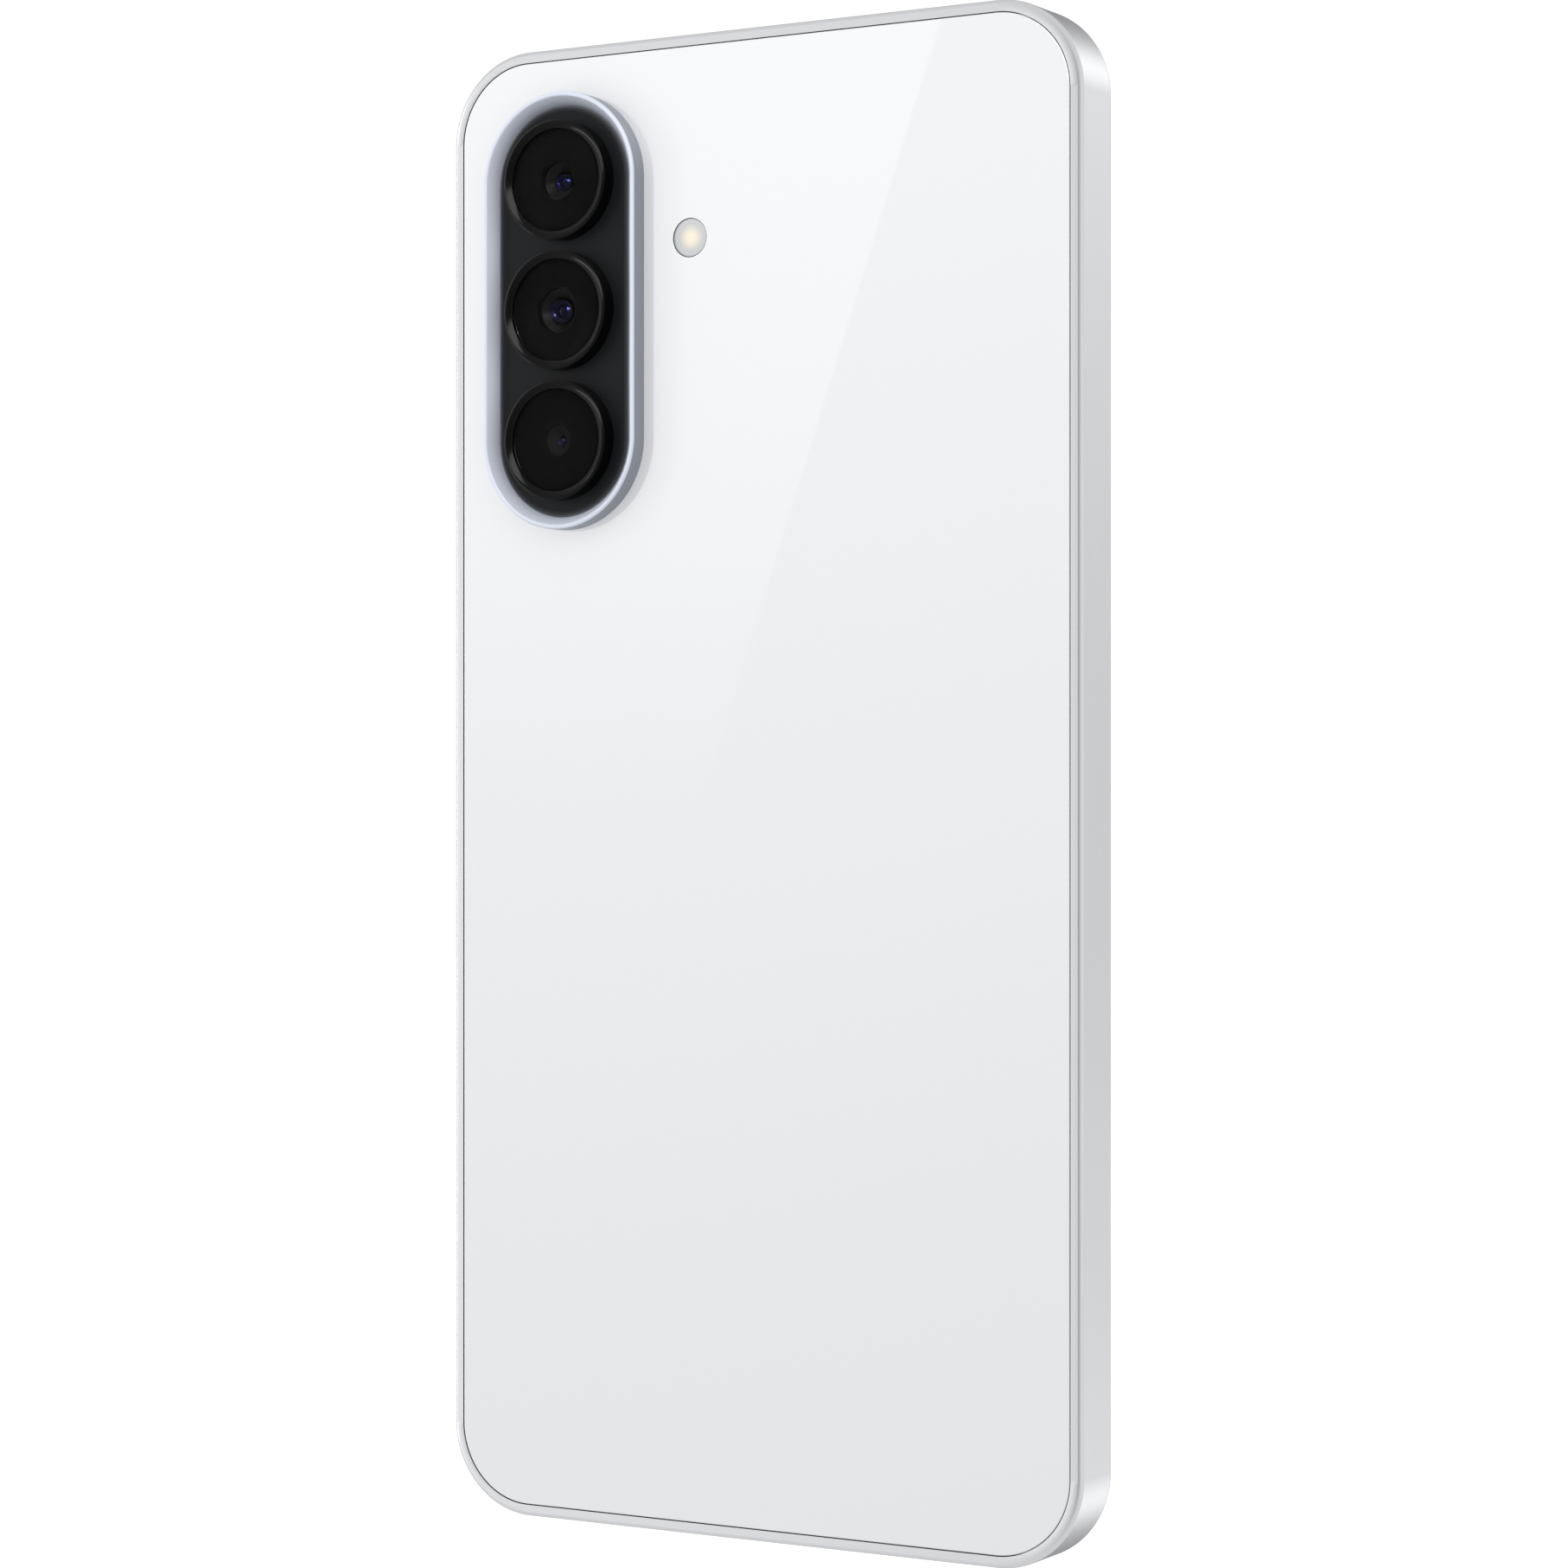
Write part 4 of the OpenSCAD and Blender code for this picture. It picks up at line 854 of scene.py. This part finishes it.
def barrel_profile(radius, foot, opening, pupil, base, deep):
    """Outer wall with a chamfer, then a funnel inside: a step down at the opening, a cone to
    the pupil at height base, and a short wall below it round the front element."""
    return section(
        [radius, foot], [radius, BARREL_TOP - CHAMFER], [radius - CHAMFER, BARREL_TOP],
        [opening + 0.02, BARREL_TOP], [opening - 0.1, BARREL_TOP - 0.3 * deep],
        [opening - 0.25, BARREL_TOP - 0.35 * deep], [pupil + 0.15, base + 0.15 * deep],
        [pupil + 0.01, base], [pupil + 0.01, base - 0.35],
    )


def camera_pieces(name, node_name, z, barrel_r, opening, pupil, deep, body):
    """One camera's trim, cover glass, mask, barrel and front element, all turned about a line at z."""
    trim = turned_piece(f"{name}_turned_trim", trim_section, z)
    piece(soften(trim, 0.035, 20), trim_metal, stands_for=[f"{name}_lens_trim"])
    pane = turned_piece(f"{name}_cover_glass", glass_section, z, closed=False)
    piece(smooth(pane), lens_glass, stands_for=[f"{name}_lens_glass"])
    mask_foot = MASK_TOP - MASK_T
    mask_section = [[GLASS_R, mask_foot], [GLASS_R, MASK_TOP], [opening, MASK_TOP], [opening, mask_foot]]
    mask = turned_piece(f"{name}_glass_mask", mask_section, z)
    piece(smooth(mask), lens_mask)
    base, foot = BARREL_TOP - deep, span(node_name)[0][1]
    profile = barrel_profile(barrel_r, foot, opening, pupil, base, deep)
    barrel = turned_piece(f"{name}_lens_barrel", profile, z, closed=False)
    piece(smooth(barrel), camera_black, body, stands_for=[node_name])
    element = turned_piece(f"{name}_front_element", element_profile(pupil, base), z, closed=False)
    piece(smooth(element, 60), lens_element, body)


# Radius of the barrel, the opening and the pupil, depth of the funnel, and the body it rides on
CAMERAS = [
    ("top", "ultrawide_lens", 3.2, 2.15, 1.05, 1.2, "phone"),
    ("middle", "main_camera_barrel", 4.1, 2.55, 1.43, 0.9, "focus_barrel"),
    ("bottom", "macro_lens", 2.2, 1.75, 0.52, 0.6, "phone"),
]
for (name, node_name, *sizes), z in zip(CAMERAS, LENS_Z):
    camera_pieces(name, node_name, z, *sizes)

# %% [markdown]
# ## Flash window
#
# A frosted plastic disc, flush with the back, with a flange behind the cover that keeps it in.

# %% Flash window
FLASH_FLANGE, FLASH_FOOT, FLASH_LEDGE, FLASH_TOP, FLASH_EDGE = 0.5, -1.05, -0.76, -0.02, 0.1
flange_r, edge_y = FLASH_R + FLASH_FLANGE, FLASH_TOP - FLASH_EDGE
flash_section = section(
    [flange_r, FLASH_FOOT], [flange_r, FLASH_LEDGE], [FLASH_R, FLASH_LEDGE], [FLASH_R, edge_y],
    arc((FLASH_R - FLASH_EDGE, edge_y), FLASH_EDGE, 10, 90, 4), [0, FLASH_TOP],
)
window = solid("flash_disc", circle(96), flash_section, (FLASH[0], 0, FLASH[2]), closed=False)
piece(smooth(window), flash_window, stands_for=["flash_window"])

# %% [markdown]
# ## Light linking
#
# A lamp that suits one piece can spoil its neighbour: the one that makes the lenses glint would
# burn a white line along the frame's edge. A studio has flags and snoots for that. Here a light
# gets a collection of the pieces that it reaches.


# %% What each lamp lights
def light_only(light, endings):
    """Limits a lamp or the card to the pieces whose names end in one of the endings."""
    receivers = bpy.data.collections.new(light.name + "_receivers")
    for obj in bpy.data.objects:
        if obj.name.endswith(endings):
            receivers.objects.link(obj)
    light.light_linking.receiver_collection = receivers


light_only(glint_lamp, ("_front_element", "_cover_glass"))
light_only(card, ("_back_cover",))
light_only(top_lamp, ("_back_cover", "_island_ring", "_island_plate", "_turned_trim", "flash_disc"))

# %% [markdown]
# ## Side buttons
#
# Two pill-shaped caps of the frame's own metal. Each has a rounded crown, a flange behind the
# wall that stops it falling out, and a nub for each dome it presses.

# %% Side buttons
CROWN_R, BUTTON_RISE, FLANGE, NUB_R, NUB_L = 0.28, 0.5, 0.5, 0.6, 0.3


def add_to(obj, *others):
    """Joins other objects' meshes into obj's mesh."""
    work = bmesh.new()
    for part in (obj, *others):
        work.from_mesh(part.data)
    work.to_mesh(obj.data)
    work.free()
    for part in others:
        bpy.data.objects.remove(part)
    return obj


def button(name, node_name, body, z, length, flange_x, nubs):
    """A cap with a crown, its flange and its nubs, drawn from the inside out along x."""
    face = BODY_W / 2 + BUTTON_RISE
    cap = section(
        [FLANGE, flange_x], [FLANGE, flange_x + FLANGE], [0, flange_x + FLANGE],
        arc((-CROWN_R, face - CROWN_R), CROWN_R, 0, 90, 6),
    )
    pill = outline(length, BUTTON_W, BUTTON_W / 2, 16)
    obj = solid(name, pill, cap, (0, CENTRE_Y, z), SIDE, closed=False)
    reach = (flange_x - NUB_L, flange_x + 0.1)
    add_to(obj, *[
        pill_bar("nub", 2 * NUB_R, 2 * NUB_R, reach, (0, CENTRE_Y, z + offset), SIDE) for offset in nubs
    ])
    piece(soften(obj, 0.04), frame_metal, body, stands_for=[node_name])


button("power_button_cap", "power_button", "power_key", POWER_Z, POWER_L, INNER_X - 0.55, [0])
button("volume_button_cap", "volume_button", "volume_rocker", VOLUME_Z, VOLUME_L, INNER_X - 0.85, [-8, 8])

# %% [markdown]
# ## Charging port
#
# A drawn steel sleeve with a rolled lip. Inside it a black tongue carries twelve gold contacts
# on each face.

# %% Charging port
PORT_W, PORT_T, PORT_WALL = 8.94, 3.26, 0.3
PORT_MOUTH, PORT_BACK, PORT_FLOOR = -BODY_H / 2 + 0.15, -72.4, -73.8
lip_at = (-PORT_WALL / 2, PORT_MOUTH + PORT_WALL / 2)
sleeve_section = section(
    [-PORT_WALL, PORT_FLOOR], arc(lip_at, PORT_WALL / 2, 180, 360, 6), [0, PORT_BACK],
)
port_shape = outline(PORT_W, PORT_T, PORT_T / 2 - 0.01, 16)
sleeve = solid("port_shell", port_shape, sleeve_section, (0, CENTRE_Y, 0), FOOT, closed=False)
piece(smooth(sleeve), sheet_steel, stands_for=["port_sleeve"])

TONGUE_W, TONGUE_T, TONGUE_FRONT = 6.7, 0.7, PORT_MOUTH + 0.5
tongue_section = section([0, PORT_FLOOR], [0, TONGUE_FRONT + 0.12], [-0.12, TONGUE_FRONT])
tongue_shape = outline(TONGUE_W, TONGUE_T, 0.2, 4)
tongue = solid("port_blade", tongue_shape, tongue_section, (0, CENTRE_Y, 0), FOOT, closed=False)
piece(soften(tongue, 0.03), black_plastic, stands_for=["port_tongue"])

CONTACT_W, CONTACT_L, CONTACT_PITCH, CONTACTS = 0.26, 4.2, 0.5, 12
CONTACT_T, CONTACT_ROUND, CONTACT_FRONT = 0.06, 0.02, TONGUE_FRONT + 0.5
contact_x = (np.arange(CONTACTS) - (CONTACTS - 1) / 2) * CONTACT_PITCH
reach = (CONTACT_FRONT, CONTACT_FRONT + CONTACT_L)
pads = [
    bar("contact", CONTACT_W, CONTACT_T, reach, (x, CENTRE_Y + side * TONGUE_T / 2, 0), FOOT, CONTACT_ROUND)
    for side in (-1, 1) for x in contact_x
]
contacts = add_to(*pads)
contacts.name = "port_contacts"
piece(smooth(contacts), gold_contact)

# %% [markdown]
# ## Screen side
#
# The front is one sheet of glass with a slightly rounded edge. A black border is printed on its
# underside, and inside the border lies the display, dark while the phone sleeps. The front
# camera looks through a round gap in the display, and a slit at the top edge lets the earpiece
# be heard.

# %% Front glass and display
FRONT_INSET, GLASS_BACK, GLASS_EDGE = 1.12, -6.73, 0.22
front_edge = section(
    arc((-GLASS_EDGE, GLASS_EDGE - BODY_T), GLASS_EDGE, -90, -10, 6), [0, GLASS_BACK],
)
front_shape = outline(BODY_W - 2 * FRONT_INSET, BODY_H - 2 * FRONT_INSET, CORNER_R - FRONT_INSET, 32)
pane = solid("front_glass_sheet", front_shape, front_edge, closed=False)
SLIT_W, SLIT_T = 10.1, 0.6
slit_low = BODY_H / 2 - FRONT_INSET - SLIT_T
cut(pane, bar("slit", SLIT_W, 2.0, (-8, -6), (0, 0, slit_low + 1.0), BACK, 0.05))
piece(smooth(pane, 30), front_glass, stands_for=["front_glass"])

BORDER_OUT, BORDER_IN, PRINT_FRONT, PRINT_BACK = -1.2, -3.6, -6.72, -6.705
border_section = section(
    [BORDER_OUT, PRINT_FRONT], [BORDER_OUT, PRINT_BACK], [BORDER_IN, PRINT_BACK], [BORDER_IN, PRINT_FRONT],
)
border = solid("printed_border", outline(BODY_W, BODY_H, CORNER_R, 32), border_section)
piece(smooth(border), border_print)

DISPLAY_INSET, DISPLAY_FRONT, DISPLAY_BACK = 3.5, -6.70, -6.1
PUNCH_R, PUNCH_Z = 1.85, 74.4
panel_w, panel_h = BODY_W - 2 * DISPLAY_INSET, BODY_H - 2 * DISPLAY_INSET
panel_shape = outline(panel_w, panel_h, CORNER_R - DISPLAY_INSET, 24)
panel = solid("display_sheet", panel_shape, section([0, DISPLAY_FRONT], [0, DISPLAY_BACK]), closed=False)
cut(panel, pill_bar("punch", *[2 * PUNCH_R] * 2, (-8, -5), (0, 0, PUNCH_Z), BACK))
piece(smooth(panel), display, stands_for=["display_panel"])

# %% [markdown]
# ## Inner parts
#
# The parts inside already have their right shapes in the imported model. What they lack is the
# small radius that every pressed, cast or moulded edge has. So each is copied, its loose
# triangles are merged into whole faces, and a fine bevel goes round its edges. Each copy takes
# the finish of the material that the real part is made of.


# %% Bevelled copies
FACE_ANGLE = math.radians(1)


def bevelled_copy(name, node_name, width):
    """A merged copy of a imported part, with its flat faces made whole and its edges bevelled."""
    obj = bpy.data.objects.new(name, NODES[node_name].data.copy())
    bpy.context.scene.collection.objects.link(obj)
    work = bmesh.new()
    work.from_mesh(obj.data)
    bmesh.ops.remove_doubles(work, verts=work.verts, dist=2e-7)
    bmesh.ops.dissolve_limit(work, angle_limit=FACE_ANGLE, verts=work.verts, edges=work.edges)
    work.to_mesh(obj.data)
    work.free()
    return soften(obj, width, 30, 2)


INNER = [
    ("cast_mid_plate", "mid_plate", magnesium, "magnesium", 0.08),
    ("moulded_upper_cover", "upper_cover", black_plastic, "black_plastic", 0.08),
    ("pressed_camera_bracket", "camera_bracket", sheet_steel, "sheet_steel", 0.05),
    ("main_circuit_board", "main_board", board, "board", 0.03),
    ("lower_circuit_board", "sub_board", board, "board", 0.03),
    ("processor_package", "processor", chip, "chip", 0.04),
    ("processor_can", "processor_shield", sheet_steel, "sheet_steel", 0.06),
    ("power_can", "power_shield", sheet_steel, "sheet_steel", 0.06),
    ("wireless_coil", "nfc_coil", copper_foil, "copper_foil", 0.02),
    ("battery_pack", "battery_cell", battery_wrap, "battery_wrap", 0.35),
    ("battery_tab", "battery_pull_tab", flex_film, "flex_film", 0.02),
    ("battery_cable", "battery_flex", flex_film, "flex_film", 0.02),
    ("main_cable", "main_flex", flex_film, "flex_film", 0.02),
    ("side_key_cable", "side_key_flex", flex_film, "flex_film", 0.02),
    ("antenna_lead", "antenna_cable", cable_jacket, "cable_jacket", 0.03),
    ("cover_adhesive", "rear_cover_gasket", seal_rubber, "seal_rubber", 0.03),
    ("screen_adhesive", "display_gasket", seal_rubber, "seal_rubber", 0.03),
    ("port_seal", "port_gasket", seal_rubber, "seal_rubber", 0.05),
    ("speaker_box", "loudspeaker_box", black_plastic, "black_plastic", 0.08),
    ("speaker_grille_mesh", "loudspeaker_mesh", acoustic_mesh, "acoustic_mesh", 0.02),
    ("bottom_mic_can", "bottom_microphone", gold_contact, "gold_contact", 0.04),
    ("top_mic_can", "top_microphone", gold_contact, "gold_contact", 0.04),
    ("vibration_motor_can", "vibration_can", sheet_steel, "sheet_steel", 0.06),
    ("card_reader_shell", "sim_reader", sheet_steel, "sheet_steel", 0.03),
    ("ultrawide_camera_box", "ultrawide_housing", camera_black, "camera_black", 0.08),
    ("main_camera_box", "main_camera_housing", camera_black, "camera_black", 0.08),
    ("macro_camera_box", "macro_housing", camera_black, "camera_black", 0.08),
    ("flash_emitter", "flash_led", gold_contact, "gold_contact", 0.04),
    ("copper_backing", "display_backing", copper_foil, "copper_foil", 0.02),
    ("selfie_camera", "front_camera", camera_black, "camera_black", 0.05),
    ("earpiece_grille", "earpiece_mesh", acoustic_mesh, "acoustic_mesh", 0.03),
    ("earpiece_can", "earpiece_receiver", black_plastic, "black_plastic", 0.06),
    ("fingerprint_reader", "fingerprint_sensor", chip, "chip", 0.04),
    ("small_screws", "board_screws", sheet_steel, "sheet_steel", 0.03),
]
for name, node_name, material, slot_name, width in INNER:
    piece(bevelled_copy(name, node_name, width), material, stands_for=[node_name])

MOVING = [
    ("card_tray", "sim_tray", frame_metal, "frame_metal", "tray", 0.05),
    ("card_tray_seal", "sim_tray_seal", seal_rubber, "seal_rubber", "tray", 0.03),
    ("eject_pin_rod", "sim_eject_rod", sheet_steel, "sheet_steel", "eject_rod", 0.04),
    ("eject_arm", "sim_eject_lever", sheet_steel, "sheet_steel", "eject_lever", 0.04),
    ("vibrating_weight", "vibration_mass", tungsten, "tungsten", "vibrator", 0.10),
    ("speaker_diaphragm", "loudspeaker_cone", cone_film, "cone_film", "speaker_cone", 0.05),
]
for name, node_name, material, slot_name, body, width in MOVING:
    piece(bevelled_copy(name, node_name, width), material, body, stands_for=[node_name])
